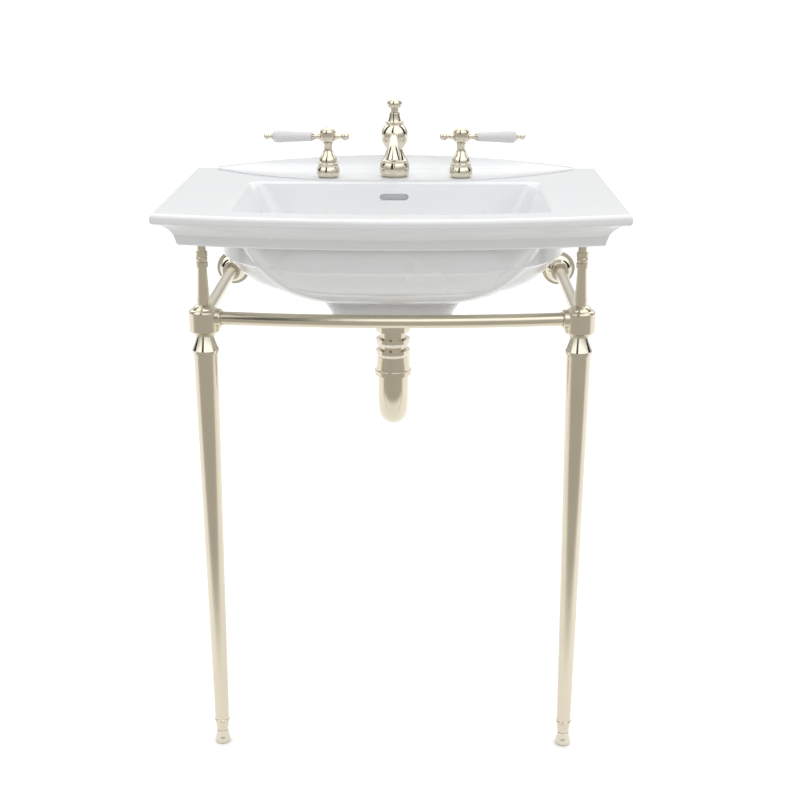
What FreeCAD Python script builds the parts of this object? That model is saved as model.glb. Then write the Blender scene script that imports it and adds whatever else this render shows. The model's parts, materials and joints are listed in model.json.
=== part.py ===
import FreeCAD
import Part
import Sketcher
import math
import os

# A console sink: a ceramic basin with a bowed front and a hollow hull, two turned front legs, a
# front rail and two side rails to the wall, a three-hole tap set with ceramic levers, a pop-up
# waste and a P-trap. The origin is on the floor, in the middle of the whole. +X is to the right,
# +Y points to the wall and +Z is up. Lengths are in millimetres.

DIMENSIONS = {
    # Basin: outer size, and the moulding round its two sides and its bowed front
    "BasinWidth": 645,
    "SideDepth": 435,
    "FrontBow": 44,
    "RimHeight": 846,
    "LipThickness": 15,
    "LipTopRound": 6,
    "LipBottomRound": 5,
    "LipOverhang": 7,
    "CoveWidth": 21,
    "CoveHeight": 17,
    "BandHeight": 15,
    "BandBatter": 3,
    "BandRound": 5,
    "DeckThickness": 14,
    "ApronWall": 16,
    # Basin: ledge under the taps and upstand against the wall
    "LedgeRise": 2.5,
    "LedgeHalfWidth": 283,
    "LedgeDepth": 132,
    "UpstandDepth": 23,
    "UpstandRise": 18.5,
    "UpstandTopWidth": 6,
    # Basin: bowl, from the edges of the deck, and its floor round the waste
    "DeckAtSides": 106.5,
    "DeckAtFront": 47,
    "DeckAtWall": 150,
    "BowlCorner": 16,
    "BowlCornerSwell": 30,
    "BowlDepth": 133,
    "BowlFloorHalfWidth": 36,
    "BowlFloorCorner": 28,
    "BowlWall": 10,
    "OverflowWidth": 44,
    "OverflowHeight": 10,
    "OverflowDrop": 22,
    "OverflowDuct": 6,
    "OverflowDuctWall": 6,
    "OverflowDuctLength": 60,
    "BowlEdgeRound": 4,
    # Basin: hull under the rim, its crease and the stub that it ends in
    "HullAtSides": 75.5,
    "HullAtFront": 44,
    "HullAtWall": 139,
    "HullCorner": 170,
    "HullRearCorner": 110,
    "HullWall": 9,
    "CreaseDrop": 79.5,
    "HullDrop": 132,
    "HullFloorHalfWidth": 120,
    "HullFloorHalfDepth": 74,
    "HullFloorCorner": 52,
    "StubDrop": 168,
    "StubHalfWidth": 86,
    "StubHalfDepth": 76,
    "StubCorner": 20,
    # Basin: wall bolts and the pads that rest on the posts
    "WallBoltSpacing": 280,
    "WallBoltHole": 12,
    "WallBoltDrop": 30,
    "PostPadDiameter": 34,
    # Legs, rails and wall roses, from the wall and from the middle
    "LegHalfSpacing": 267,
    "LegFromWall": 349,
    "FootDiameter": 23.6,
    "FootSoleDiameter": 19,
    "FootEdgeHeight": 3.5,
    "FootHeight": 11,
    "AnkleDiameter": 17.6,
    "AnkleHeight": 16,
    "FootStudDiameter": 10,
    "FootStudLength": 34,
    "LegRingDiameter": 23.2,
    "LegRingHeight": 5,
    "LegRingWidth": 2.5,
    "LegBottomDiameter": 22.8,
    "LegTopDiameter": 34.9,
    "LegTopHeight": 633.5,
    "LegWall": 2.5,
    "LegPlugHeight": 52,
    "CapBaseDiameter": 39.3,
    "CapBaseHeight": 4,
    "CapTopDiameter": 24,
    "CapHeight": 25,
    "CapSpigot": 12,
    "HubDiameter": 43.6,
    "HubRingDiameter": 29,
    "HubRingHeight": 4,
    "HubChamfer": 3,
    "HubShoulder": 5,
    "HubHeight": 45,
    "HubDomeHeight": 7,
    "HubDomeDiameter": 33,
    "BossDiameter": 27,
    "BossReach": 26,
    "BossRound": 2,
    "RailDiameter": 19.05,
    "RailWall": 1.5,
    "RailHeight": 684,
    "RailBow": 22,
    "RailSocketDepth": 14,
    "PostFootDiameter": 19,
    "PostFootHeight": 9,
    "PostBottomDiameter": 18,
    "PostTopDiameter": 13.4,
    "PostRingDiameter": 17,
    "PostRingHeight": 7,
    "PostBeadDiameter": 14.5,
    "PostBeadHeight": 8,
    "PostNeckDiameter": 12.5,
    "PostHeadDiameter": 26,
    "PostHeadHeight": 5,
    "PostRingDrop": 42,
    "RoseDiameter": 54,
    "RoseEdge": 5,
    "RoseBellDiameter": 45,
    "RoseBellDepth": 26,
    "RoseCollarDiameter": 28,
    "RoseCollarDepth": 36,
    "RoseBoltHole": 8,
    "SetScrewDiameter": 5,
    "SetScrewFromEdge": 5,
    "SetScrewSocket": 2.5,
    # Tap set
    "TapSpacing": 203.2,
    "TapFromWall": 115,
    "SpoutFromWall": 103,
    "TapHole": 23,
    "ShankDiameter": 21,
    "ShankTop": 8,
    "LockNutWidth": 36,
    "LockNutHeight": 10,
    "BaseFootDiameter": 27,
    "BaseBulgeDiameter": 36.5,
    "BaseBulgeHeight": 10.5,
    "BaseStepHeight": 16.5,
    "BaseStepDiameter": 32,
    "BaseStepRing": 4.5,
    "BaseNeckDiameter": 14,
    "BaseBellDiameter": 29,
    "BaseWaistDiameter": 22,
    "BaseWaistHeight": 33,
    "BaseBellHeight": 45,
    "BaseNeckHeight": 52.5,
    "StemDiameter": 8,
    "StemDepth": 20,
    "StemTop": 70,
    "HandleHubDiameter": 25.5,
    "HandleHubHeight": 18.5,
    "HandleHubRound": 2,
    "HandleCapHeight": 3.5,
    "HandleCapDiameter": 21,
    "LeverHeight": 62.5,
    "LeverNeckDiameter": 7,
    "LeverNeckEnd": 15,
    "LeverFerruleDiameter": 14,
    "LeverStart": 24.5,
    "LeverEnd": 83.5,
    "LeverInnerDiameter": 14.5,
    "LeverOuterDiameter": 19.5,
    "LeverEndRound": 6,
    "FinialTip": 98,
    "FinialDiameter": 9.8,
    "FinialCollarDiameter": 9,
    "FinialCollarLength": 4,
    "FinialNeckDiameter": 5,
    "FinialStudDiameter": 4,
    "FinialStudSocket": 7,
    "CounterTip": 33,
    "CounterBallDiameter": 11.6,
    "CounterNeckDiameter": 7.5,
    "ValveBodyDiameter": 34,
    "ValveBodyHeight": 30,
    "ValvePortReach": 26,
    "ValveSeatThickness": 10,
    "InletDiameter": 20.96,
    "InletLength": 28,
    "InletBore": 15,
    "SpoutFootDiameter": 38,
    "SpoutBellDiameter": 47,
    "SpoutBellHeight": 12,
    "SpoutStepDiameter": 43,
    "SpoutStepHeight": 17,
    "SpoutStepRing": 2,
    "SpoutBaseHeight": 30,
    "SpoutTopDiameter": 30,
    "SpoutWaistDiameter": 25,
    "SpoutWaistHeight": 42,
    "SpoutBulbDiameter": 42,
    "SpoutBulbHeight": 60,
    "SpoutShoulderHeight": 78,
    "SpoutShoulderDiameter": 25,
    "SpoutShoulderRing": 3,
    "SpoutNeckDiameter": 17,
    "SpoutNeckHeight": 101,
    "SpoutNeckCollar": 19,
    "SpoutCollarHeight": 3,
    "NozzleRise": 8,
    "NozzleReach": 110,
    "NozzleBend": 44,
    "NozzleDrop": 39,
    "NozzleDiameter": 14,
    "NozzleMouthDiameter": 22,
    "NozzleMouthLength": 14,
    "NozzleLip": 3,
    "AeratorDiameter": 16,
    "AeratorHeight": 6,
    "AeratorHole": 3,
    "AeratorBore": 10,
    "TeeDiameter": 34,
    "TeeHeight": 28,
    "TeeArmReach": 30,
    "TeeArmDiameter": 18,
    "TubeSocket": 8,
    "TubeDiameter": 12,
    "TubeWall": 1,
    "TubeDrop": 72,
    # Pop-up waste
    "DrainFromWall": 265,
    "DrainHole": 46,
    "FlangeDiameter": 64,
    "FlangeThickness": 3,
    "FlangeTubeDiameter": 44,
    "FlangeTubeLength": 46,
    "FlangeBore": 36,
    "FlangeSeatBore": 40,
    "GasketDiameter": 62,
    "GasketThickness": 8,
    "DrainNutWidth": 58,
    "DrainNutHeight": 9,
    "DrainBodyDiameter": 52,
    "DrainBodyBottom": 645,
    "DrainThroatDiameter": 36,
    "TailSocket": 8,
    "PivotHeight": 661,
    "PivotReach": 34,
    "PivotPortDiameter": 26,
    "PivotPortOverlap": 3,
    "PivotBallDiameter": 14,
    "PivotRodDiameter": 5,
    "PivotNutDiameter": 31,
    "PivotNutEnd": 46,
    "PivotNutThread": 7,
    "PivotSwingHole": 12,
    "PivotRodOverhang": 12,
    "StopperDiameter": 38,
    "StopperThickness": 4,
    "StopperDome": 2.5,
    "StopperStemDiameter": 8,
    "StopperLift": 5,
    "StopperEyeWidth": 12,
    "StopperEyeThickness": 3,
    "LiftKnobDiameter": 23.5,
    "LiftKnobHeight": 17,
    "LiftCollarHeight": 4,
    "LiftKnobSide": 6,
    "LiftCollarDiameter": 15.5,
    "LiftRodDiameter": 6,
    "LiftRodBottom": 723,
    "ClevisWidth": 12,
    "ClevisThickness": 1.5,
    "ClevisTop": 740,
    "ClevisBlockHeight": 16,
    "ClevisBlockWall": 4,
    "ClevisTail": 14,
    "ClevisHoleSpacing": 12,
    "ClevisScrewDiameter": 9,
    "ClevisScrewLength": 10,
    "ClevisStudDiameter": 4,
    # Trap
    "TailDiameter": 39,
    "TailWall": 1.2,
    "TailBottom": 586,
    "RingDiameter": 50.6,
    "RingHeight": 10.6,
    "RingBand": 5.5,
    "RingFootDiameter": 46,
    "UpperRingTop": 633.4,
    "LowerRingTop": 616.6,
    "TrapNutTopDiameter": 46.6,
    "TrapNutWaistDiameter": 51,
    "TrapNutCollarDiameter": 54.4,
    "TrapNutCollarHeight": 9,
    "TrapNutCollarRound": 2,
    "TrapNutBottom": 578,
    "TrapDiameter": 44.4,
    "TrapWall": 1.5,
    "TrapInletTop": 600,
    "TrapBendHeight": 556,
    "TrapBendRadius": 45,
    "TrapOutletTop": 584,
    "OutletNutDiameter": 50,
    "OutletNutBottom": 568,
    "OutletNutHeight": 24,
    "OutletNutShoulder": 4,
    "ArmDiameter": 38.1,
    "ArmWall": 1.5,
    "ArmInsert": 12,
    "ArmHeight": 622,
    "ArmBendRadius": 30,
    "OutletStub": 20,
    "EscutcheonDiameter": 70,
    "EscutcheonDepth": 15,
    "EscutcheonWall": 2,
    # Clearances
    "SeatClearance": 0.15,
    "RunningClearance": 0.05,
    "MovingClearance": 0.3,
    "HoleClearance": 0.8,
}

# How far a cut reaches past the solid, and the sweep of the cut that shapes the bowed front
CUT_MARGIN = 10
BOW_SWEEP = 60
CLEVIS_HOLES = 5
EDGE_STEPS = ((1, -3), (1, 0), (0.3, 0.3), (-1, 1.5))
SIDES = (("left", -1), ("right", 1))
FROM_WALL = FreeCAD.Rotation(FreeCAD.Vector(1, 0, 0), 90)
TO_WALL = FreeCAD.Rotation(FreeCAD.Vector(1, 0, 0), -90)


class Size:
    """A length from the sheet, or one worked out from others; its text is the expression."""

    def __init__(self, text):
        self.text = text

    def __add__(self, other):
        return Size(f"({self.text} + {text_of(other)})")

    def __sub__(self, other):
        return Size(f"({self.text} - {text_of(other)})")

    def __mul__(self, other):
        return Size(f"({self.text} * {text_of(other)})")

    def __truediv__(self, other):
        return Size(f"({self.text} / {text_of(other)})")

    def __rsub__(self, other):
        return Size(f"({text_of(other)} - {self.text})")

    def __neg__(self):
        return Size(f"(0 - {self.text})")

    def number(self):
        return float(sheet.evalExpression(self.text))


def text_of(value):
    """The expression text of a size or of a plain number."""
    return value.text if isinstance(value, Size) else repr(float(value))


def number_of(value):
    return value.number() if isinstance(value, Size) else float(value)


def root(value):
    return Size(f"sqrt({value.text})")


def arcsine(value):
    return Size(f"asin({value.text})")


def arctangent(value):
    return Size(f"atan({value.text})")


def sine(value):
    return Size(f"sin({value.text})")


def cosine(value):
    return Size(f"cos({value.text})")


def arccosine(value):
    return Size(f"acos({value.text})")


def tangent(value):
    return Size(f"tan({value.text})")


def bend(degrees):
    """The bulge of an arc that turns by so many degrees, to the left if they are positive."""
    return math.tan(math.radians(degrees) / 4)


class Sizes:
    """The sheet's sizes, by name."""


document = FreeCAD.newDocument("ConsoleSink")
sheet = document.addObject("Spreadsheet::Sheet", "Dimensions")
size = Sizes()
for row, (name, length) in enumerate(DIMENSIONS.items(), start=1):
    sheet.set(f"A{row}", name)
    sheet.set(f"B{row}", str(length))
    sheet.setAlias(f"B{row}", name)
    setattr(size, name, Size(f"Dimensions.{name}"))
document.recompute()

# Places that several pieces share
WALL = (size.SideDepth + size.FrontBow - size.OutletStub) / 2
NOSE = -(size.SideDepth + size.FrontBow)
HALF_BASIN = size.BasinWidth / 2
BOW_RADIUS = (HALF_BASIN * HALF_BASIN + size.FrontBow * size.FrontBow) / (size.FrontBow * 2)
BAND_DROP = size.LipThickness + size.CoveHeight + size.BandHeight
BAND_INSET = size.LipOverhang + size.CoveWidth + size.BandBatter
RIM_BOTTOM = size.RimHeight - BAND_DROP
DECK_BOTTOM = size.RimHeight - size.DeckThickness
LEDGE_TOP = size.RimHeight + size.LedgeRise
TAP_Y = WALL - size.TapFromWall
SPOUT_Y = WALL - size.SpoutFromWall
DRAIN_Y = WALL - size.DrainFromWall
LEG_Y = WALL - size.LegFromWall
FLOOR_TOP = size.RimHeight - size.BowlDepth
FLOOR_BOTTOM = FLOOR_TOP - size.BowlWall
CAP_TOP = size.LegTopHeight + size.CapHeight
HUB_TOP = CAP_TOP + size.HubHeight
BOW_CENTRE = NOSE + BOW_RADIUS
RAIL_RADIUS = (size.LegHalfSpacing * size.LegHalfSpacing + size.RailBow * size.RailBow) / (size.RailBow * 2)


def new_body(label, x=0, y=0, z=0, turn=None):
    """An empty body, placed by the sheet's sizes and turned by a fixed rotation."""
    body = document.addObject("PartDesign::Body", label)
    body.Label = label
    if turn is not None:
        body.Placement = FreeCAD.Placement(FreeCAD.Vector(), turn)
    place(body, x, y, z)
    return body


def new_sketch(body, plane, lift=0):
    """A sketch on one of the body's own planes, lifted along that plane's normal."""
    sketch = body.newObject("Sketcher::SketchObject", f"{body.Name}_outline")
    origin = [feature for feature in body.Origin.OriginFeatures if feature.Role == plane]
    sketch.AttachmentSupport = [(origin[0], "")]
    sketch.MapMode = "FlatFace"
    sketch.setExpression("AttachmentOffset.Base.z", text_of(lift))
    return sketch


def tie(sketch, kind, geometry, point, value):
    """Ties one coordinate of a sketched point to a size."""
    constraint = Sketcher.Constraint(kind, -1, 1, geometry, point, number_of(value))
    index = sketch.addConstraint(constraint)
    sketch.setExpression(f"Constraints[{index}]", text_of(value))


class Pen:
    """Draws one outline in a sketch, with every corner tied to the sheet."""

    def __init__(self, sketch, x, y):
        self.sketch = sketch
        self.start = (x, y)
        self.here = (x, y)
        self.first = None
        self.last = None

    def vector(self, point):
        return FreeCAD.Vector(number_of(point[0]), number_of(point[1]), 0)

    def join(self, geometry, begin, end, point):
        """Joins a new edge to the last one and ties its far end."""
        if self.last is None:
            self.first = (geometry, begin)
            tie(self.sketch, "DistanceX", geometry, begin, self.start[0])
            tie(self.sketch, "DistanceY", geometry, begin, self.start[1])
        else:
            self.sketch.addConstraint(Sketcher.Constraint("Coincident", *self.last, geometry, begin))
        if point is self.start:
            self.sketch.addConstraint(Sketcher.Constraint("Coincident", geometry, end, *self.first))
        else:
            tie(self.sketch, "DistanceX", geometry, end, point[0])
            tie(self.sketch, "DistanceY", geometry, end, point[1])
        self.last = (geometry, end)
        self.here = point

    def line_to(self, point):
        edge = Part.LineSegment(self.vector(self.here), self.vector(point))
        self.join(self.sketch.addGeometry(edge), 1, 2, point)

    def arc_about(self, point, centre, clockwise):
        """An arc to the point round a centre, which is tied across the arc's chord."""
        begin, end, middle = self.vector(self.here), self.vector(point), self.vector(centre)
        first, last = (end, begin) if clockwise else (begin, end)
        turn = [math.atan2(v.y - middle.y, v.x - middle.x) for v in (first, last)]
        circle = Part.Circle(middle, FreeCAD.Vector(0, 0, 1), (begin - middle).Length)
        geometry = self.sketch.addGeometry(Part.ArcOfCircle(circle, *turn))
        self.join(geometry, *((2, 1) if clockwise else (1, 2)), point)
        chord = end - begin
        axis, value = ("Y", centre[1]) if abs(chord.x) >= abs(chord.y) else ("X", centre[0])
        tie(self.sketch, f"Distance{axis}", geometry, 3, value)

    def arc_to(self, point, bulge):
        """An arc by its bulge, the tangent of a quarter of its turn; left turns are positive."""
        x, y = self.here
        across = (1 - bulge * bulge) / (bulge * 4)
        centre_x = (as_size(x) + point[0]) / 2 - (as_size(point[1]) - y) * across
        centre_y = (as_size(y) + point[1]) / 2 + (as_size(point[0]) - x) * across
        self.arc_about(point, (centre_x, centre_y), clockwise=number_of(bulge) < 0)

    def close(self, bulge=0):
        self.go_to(self.start, bulge)

    def go_to(self, point, bulge=0):
        if number_of(bulge) == 0:
            self.line_to(point)
        else:
            self.arc_to(point, bulge)


def as_size(value):
    return value if isinstance(value, Size) else Size(text_of(value))


def draw(sketch, outline, closed=True, last_bulge=0):
    """Draws an outline of points (x, y) or (x, y, bulge of the edge that ends there)."""
    pen = Pen(sketch, outline[0][0], outline[0][1])
    for x, y, *bulge in outline[1:]:
        pen.go_to((x, y), *bulge)
    if closed:
        pen.close(last_bulge)
    return pen


def draw_circle(sketch, diameter, x=0, y=0):
    """A circle tied by its centre and diameter."""
    centre = FreeCAD.Vector(number_of(x), number_of(y), 0)
    circle = Part.Circle(centre, FreeCAD.Vector(0, 0, 1), number_of(diameter) / 2)
    geometry = sketch.addGeometry(circle)
    tie(sketch, "DistanceX", geometry, 3, x)
    tie(sketch, "DistanceY", geometry, 3, y)
    index = sketch.addConstraint(Sketcher.Constraint("Diameter", geometry, number_of(diameter)))
    sketch.setExpression(f"Constraints[{index}]", text_of(diameter))


def extrude(body, sketch, length, cut=False, backwards=False, both_ways=False):
    """A pad or a pocket of a sketch."""
    feature = body.newObject("PartDesign::Pocket" if cut else "PartDesign::Pad", "extrusion")
    feature.Profile = sketch
    feature.Reversed = backwards
    feature.Midplane = both_ways
    feature.setExpression("Length", text_of(length))
    return feature


def spin(body, sketch, axis="V_Axis", angle=360, cut=False):
    """A revolution or a groove of a sketch about an axis of its own."""
    feature = body.newObject("PartDesign::Groove" if cut else "PartDesign::Revolution", "spin")
    feature.Profile = sketch
    feature.ReferenceAxis = (sketch, [axis])
    feature.Midplane = True
    feature.setExpression("Angle", text_of(angle))
    return feature


def loft(body, sketches, cut=False, ruled=False):
    """A loft through sketches, added to the body or cut from it."""
    kind = "PartDesign::SubtractiveLoft" if cut else "PartDesign::AdditiveLoft"
    feature = body.newObject(kind, "loft")
    feature.Profile = sketches[0]
    feature.Sections = sketches[1:]
    feature.Ruled = ruled
    return feature


def sweep(body, section, path):
    """A sketch swept along the one chain of edges of another sketch."""
    feature = body.newObject("PartDesign::AdditivePipe", "sweep")
    feature.Profile = section
    feature.Spine = path
    return feature


def mark_axis(sketch, start, end):
    """A construction line in a sketch, which a spin can turn about as its Axis0."""
    axis = Pen(sketch, *start)
    axis.line_to(end)
    sketch.toggleConstruction(axis.last[0])


class Axis:
    """A line in a sketch's plane, with places along it and out from it."""

    def __init__(self, start, direction):
        self.x, self.y = as_size(start[0]), as_size(start[1])
        self.along_x, self.along_y = as_size(direction[0]), as_size(direction[1])

    def at(self, along, out):
        x = self.x + self.along_x * along - self.along_y * out
        y = self.y + self.along_y * along + self.along_x * out
        return (x, y)


def spin_along(body, plane, lift, axis, outline, cut=False):
    """A solid or a cut turned about a line in a plane, from an outline along and out from it."""
    sketch = new_sketch(body, plane, lift)
    draw(sketch, [(*axis.at(along, out), *bulge) for along, out, *bulge in outline])
    mark_axis(sketch, axis.at(0, 0), axis.at(CUT_MARGIN, 0))
    return spin(body, sketch, "Axis0", cut=cut)


def ring_outline_along(inner, outer, start, end):
    """The outline of a plain ring about a line, by its radii and its two ends."""
    return [(start, inner), (end, inner), (end, outer), (start, outer)]


def place(item, x, y, z):
    for axis, value in (("x", x), ("y", y), ("z", z)):
        item.setExpression(f"Placement.Base.{axis}", text_of(value))


def turned(label, outline, x=0, y=0, z=0, turn=None):
    """A piece turned about its own Z axis, from an outline of radii and heights."""
    body = new_body(label, x, y, z, turn)
    sketch = new_sketch(body, "XZ_Plane")
    draw(sketch, outline)
    spin(body, sketch)
    return body


def bore(body, plane, lift, diameter, length, x=0, y=0, backwards=False):
    """A round hole sunk from a lifted plane of the body."""
    sketch = new_sketch(body, plane, lift)
    draw_circle(sketch, diameter, x, y)
    return extrude(body, sketch, length, cut=True, backwards=backwards)


def hexagon(sketch, width):
    """A regular hexagon, by its width across flats."""
    half = width / 2
    corner = half / math.cos(math.radians(30))
    rise = corner / 2
    draw(sketch, [(corner, 0), (rise, half), (-rise, half), (-corner, 0), (-rise, -half), (rise, -half)])


def ring_outline(inner, outer, bottom, top):
    """The outline of a plain ring, by its diameters and heights."""
    return [(inner / 2, bottom), (outer / 2, bottom), (outer / 2, top), (inner / 2, top)]


def reversed_run(points):
    """The same run of points, drawn from its end to its start."""
    bulges = [0] + [-bulge for x, y, bulge in reversed(points)][:-1]
    return [(x, y, bulge) for (x, y, unused), bulge in zip(reversed(points), bulges)]


class Bowed:
    """A rounded rectangle whose front edge is bowed about the same centre as the rim."""

    def __init__(self, half, front, back, corner, rear=None):
        self.half, self.front, self.back, self.corner = half, front, back, corner
        self.rear = corner if rear is None else rear

    def grown(self, wall):
        corners = self.corner + wall, self.rear + wall
        return Bowed(self.half + wall, self.front - wall, self.back + wall, *corners)

    def towards(self, other, share, swell=0):
        """The outline a share of the way to another; its corners swell half way."""
        def mix(near, far):
            return near + (far - near) * share
        swollen = as_size(swell) * (4 * share * (1 - share))
        corners = mix(self.corner, other.corner) + swollen, mix(self.rear, other.rear) + swollen
        ends = mix(self.front, other.front), mix(self.back, other.back)
        return Bowed(mix(self.half, other.half), *ends, *corners)

    def draw(self, sketch):
        radius = BOW_CENTRE - self.front
        inner = radius - self.corner
        reach, rear_reach = self.half - self.corner, self.half - self.rear
        shoulder = self.back - self.rear
        side_end = BOW_CENTRE - root(inner * inner - reach * reach)
        tip_x = reach * radius / inner
        tip_y = BOW_CENTRE + (side_end - BOW_CENTRE) * radius / inner
        pen = Pen(sketch, -rear_reach, self.back)
        pen.line_to((rear_reach, self.back))
        pen.arc_about((self.half, shoulder), (rear_reach, shoulder), clockwise=True)
        pen.line_to((self.half, side_end))
        pen.arc_about((tip_x, tip_y), (reach, side_end), clockwise=True)
        pen.arc_about((-tip_x, tip_y), (0, BOW_CENTRE), clockwise=True)
        pen.arc_about((-self.half, side_end), (-reach, side_end), clockwise=True)
        pen.line_to((-self.half, shoulder))
        pen.arc_about(pen.start, (-rear_reach, shoulder), clockwise=True)


def rim_profile(edge, inward):
    """The rim's moulding from its deck edge down: lip, cove and band; inward is 1 or -1."""
    lip, cove = size.LipThickness, size.LipThickness + size.CoveHeight
    steps = [
        (size.LipTopRound, Size("0"), 0),
        (Size("0"), size.LipTopRound, bend(90)),
        (Size("0"), lip - size.LipBottomRound, 0),
        (size.LipBottomRound, lip, bend(90)),
        (size.LipOverhang, lip, 0),
        (size.LipOverhang + size.CoveWidth, cove, bend(-45)),
        (BAND_INSET, BAND_DROP - size.BandRound, 0),
        (BAND_INSET + size.BandRound, BAND_DROP, bend(90)),
    ]
    return [(edge + inset * inward, size.RimHeight - drop, bulge * inward) for inset, drop, bulge in steps]


def narrowing(body, top, bottom, z_top, z_bottom, power, shares, swell=0, wall=0):
    """Sketches from a top outline to a bottom one, whose depth grows as a power curve."""
    sketches = []
    for share in shares:
        depth = (z_bottom - z_top) * (1 - (1 - share) ** power)
        sketch = new_sketch(body, "XY_Plane", z_top + depth)
        top.towards(bottom, share, swell).grown(wall).draw(sketch)
        sketches.append(sketch)
    return sketches


# The basin's outlines in its own frame, whose Y is measured from the wall
DRAIN_BACK = -size.DrainFromWall
RIM_HOLLOW = Bowed(HALF_BASIN - BAND_INSET - size.ApronWall, NOSE + BAND_INSET + size.ApronWall,
                   -size.ApronWall, size.ApronWall)
HULL_TOP = Bowed(HALF_BASIN - size.HullAtSides, NOSE + size.HullAtFront, -size.HullAtWall,
                 size.HullCorner, size.HullRearCorner)
HULL_FLOOR = Bowed(size.HullFloorHalfWidth, DRAIN_BACK - size.HullFloorHalfDepth,
                   DRAIN_BACK + size.HullFloorHalfDepth, size.HullFloorCorner)
STUB_END = Bowed(size.StubHalfWidth, DRAIN_BACK - size.StubHalfDepth,
                 DRAIN_BACK + size.StubHalfDepth, size.StubCorner)
BOWL_TOP = Bowed(HALF_BASIN - size.DeckAtSides, NOSE + size.DeckAtFront, -size.DeckAtWall, size.BowlCorner)
BOWL_FLOOR = Bowed(size.BowlFloorHalfWidth, DRAIN_BACK - size.BowlFloorHalfWidth,
                   DRAIN_BACK + size.BowlFloorHalfWidth, size.BowlFloorCorner)
CREASE = size.RimHeight - size.CreaseDrop
HULL_BOTTOM = size.RimHeight - size.HullDrop
STUB_BOTTOM = size.RimHeight - size.StubDrop
HULL_POWER, STUB_POWER, BOWL_POWER = 2.8, 0.55, 4
HULL_SHARES, STUB_SHARES = (0, 0.2, 0.4, 0.6, 0.8, 1), (0.5, 0.85, 1)


def add_rim(body):
    """The slab with its moulded sides, its bowed front, and the hollow under the deck."""
    section = new_sketch(body, "XZ_Plane")
    draw(section, reversed_run(rim_profile(-HALF_BASIN, 1)) + rim_profile(HALF_BASIN, -1))
    extrude(body, section, -NOSE)
    front = new_sketch(body, "YZ_Plane")
    moulding = rim_profile(NOSE, 1)
    top_x, foot_x = moulding[0][0], moulding[-1][0]
    above, below = size.RimHeight + CUT_MARGIN, RIM_BOTTOM - CUT_MARGIN
    ahead = NOSE - size.FrontBow - CUT_MARGIN
    draw(front, moulding + [(foot_x, below), (ahead, below), (ahead, above), (top_x, above)])
    mark_axis(front, (BOW_CENTRE, 0), (BOW_CENTRE, size.RimHeight))
    spin(body, front, "Axis0", BOW_SWEEP, cut=True)
    hollow = new_sketch(body, "XY_Plane", RIM_BOTTOM)
    RIM_HOLLOW.draw(hollow)
    extrude(body, hollow, DECK_BOTTOM - RIM_BOTTOM, cut=True, backwards=True)


def add_ledge(body):
    """The raised ledge that the taps stand on, and the arched upstand with its hollow face."""
    half, line, middle = size.LedgeHalfWidth, -size.UpstandDepth, DECK_BOTTOM + size.DeckThickness / 2
    ledge = new_sketch(body, "XY_Plane", middle)
    draw(ledge, [(-half, line), (half, line, size.LedgeDepth / half)])
    extrude(body, ledge, LEDGE_TOP - middle)
    arch = new_sketch(body, "XZ_Plane")
    outline = [(-half, LEDGE_TOP), (-half, middle), (half, middle), (half, LEDGE_TOP)]
    draw(arch, outline, last_bulge=size.UpstandRise / half)
    extrude(body, arch, size.UpstandDepth)
    face = new_sketch(body, "YZ_Plane")
    crest, ahead = LEDGE_TOP + size.UpstandRise, line - CUT_MARGIN
    above = crest + size.UpstandRise
    draw(face, [(line, LEDGE_TOP), (-size.UpstandTopWidth, crest, bend(70)), (-size.UpstandTopWidth, above),
                (ahead, above), (ahead, LEDGE_TOP)])
    extrude(body, face, half * 2 + CUT_MARGIN, cut=True, both_ways=True)


def add_hull(body):
    """The hull's skin: an upright neck, the part below the crease, and the stub."""
    for wall, deeper, cut in ((0, 0, False), (-size.HullWall, size.HullWall, True)):
        neck = new_sketch(body, "XY_Plane", CREASE)
        HULL_TOP.grown(wall).draw(neck)
        extrude(body, neck, DECK_BOTTOM - CREASE, cut=cut, backwards=cut)
        floor = HULL_BOTTOM + deeper
        end = STUB_BOTTOM - CUT_MARGIN * int(cut)
        sections = narrowing(body, HULL_TOP, HULL_FLOOR, CREASE, floor, HULL_POWER, HULL_SHARES, wall=wall)
        sections += narrowing(body, HULL_FLOOR, STUB_END, floor, end, STUB_POWER, STUB_SHARES, wall=wall)
        loft(body, sections, cut)


def add_bowl(body):
    """The bowl's wall inside the hull, its inside, and the soft edge between deck and bowl."""
    radius = size.BowlEdgeRound
    shell_top = size.RimHeight - size.DeckThickness / 2
    bowls = ((size.BowlWall, shell_top, FLOOR_BOTTOM, False), (0, size.RimHeight, FLOOR_TOP, True))
    for wall, top, bottom, cut in bowls:
        sections = narrowing(body, BOWL_TOP, BOWL_FLOOR, top, bottom, BOWL_POWER, HULL_SHARES,
                             size.BowlCornerSwell, wall)
        loft(body, sections, cut)
    edge = []
    for share, drop in EDGE_STEPS:
        sketch = new_sketch(body, "XY_Plane", size.RimHeight - radius * drop)
        BOWL_TOP.grown(radius * share).draw(sketch)
        edge.append(sketch)
    loft(body, edge, cut=True, ruled=True)


def add_overflow(body):
    """The overflow slot in the bowl's back, and the duct that leads down inside the wall."""
    height, half = size.RimHeight - size.OverflowDrop, size.OverflowHeight / 2
    reach = size.OverflowWidth / 2 - half
    start, duct_back = size.DeckAtWall + CUT_MARGIN, size.HullAtWall + size.OverflowDuctWall
    slot = new_sketch(body, "XZ_Plane", start)
    outline = [(-reach, height - half), (reach, height - half), (reach, height + half, bend(180)),
               (-reach, height + half)]
    draw(slot, outline, last_bulge=bend(180))
    extrude(body, slot, start - duct_back, cut=True)
    duct = new_sketch(body, "XY_Plane", height + half)
    duct_front = duct_back + size.OverflowDuct
    draw(duct, [(-reach, -duct_front), (reach, -duct_front), (reach, -duct_back), (-reach, -duct_back)])
    extrude(body, duct, size.OverflowDuctLength, cut=True)


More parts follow.
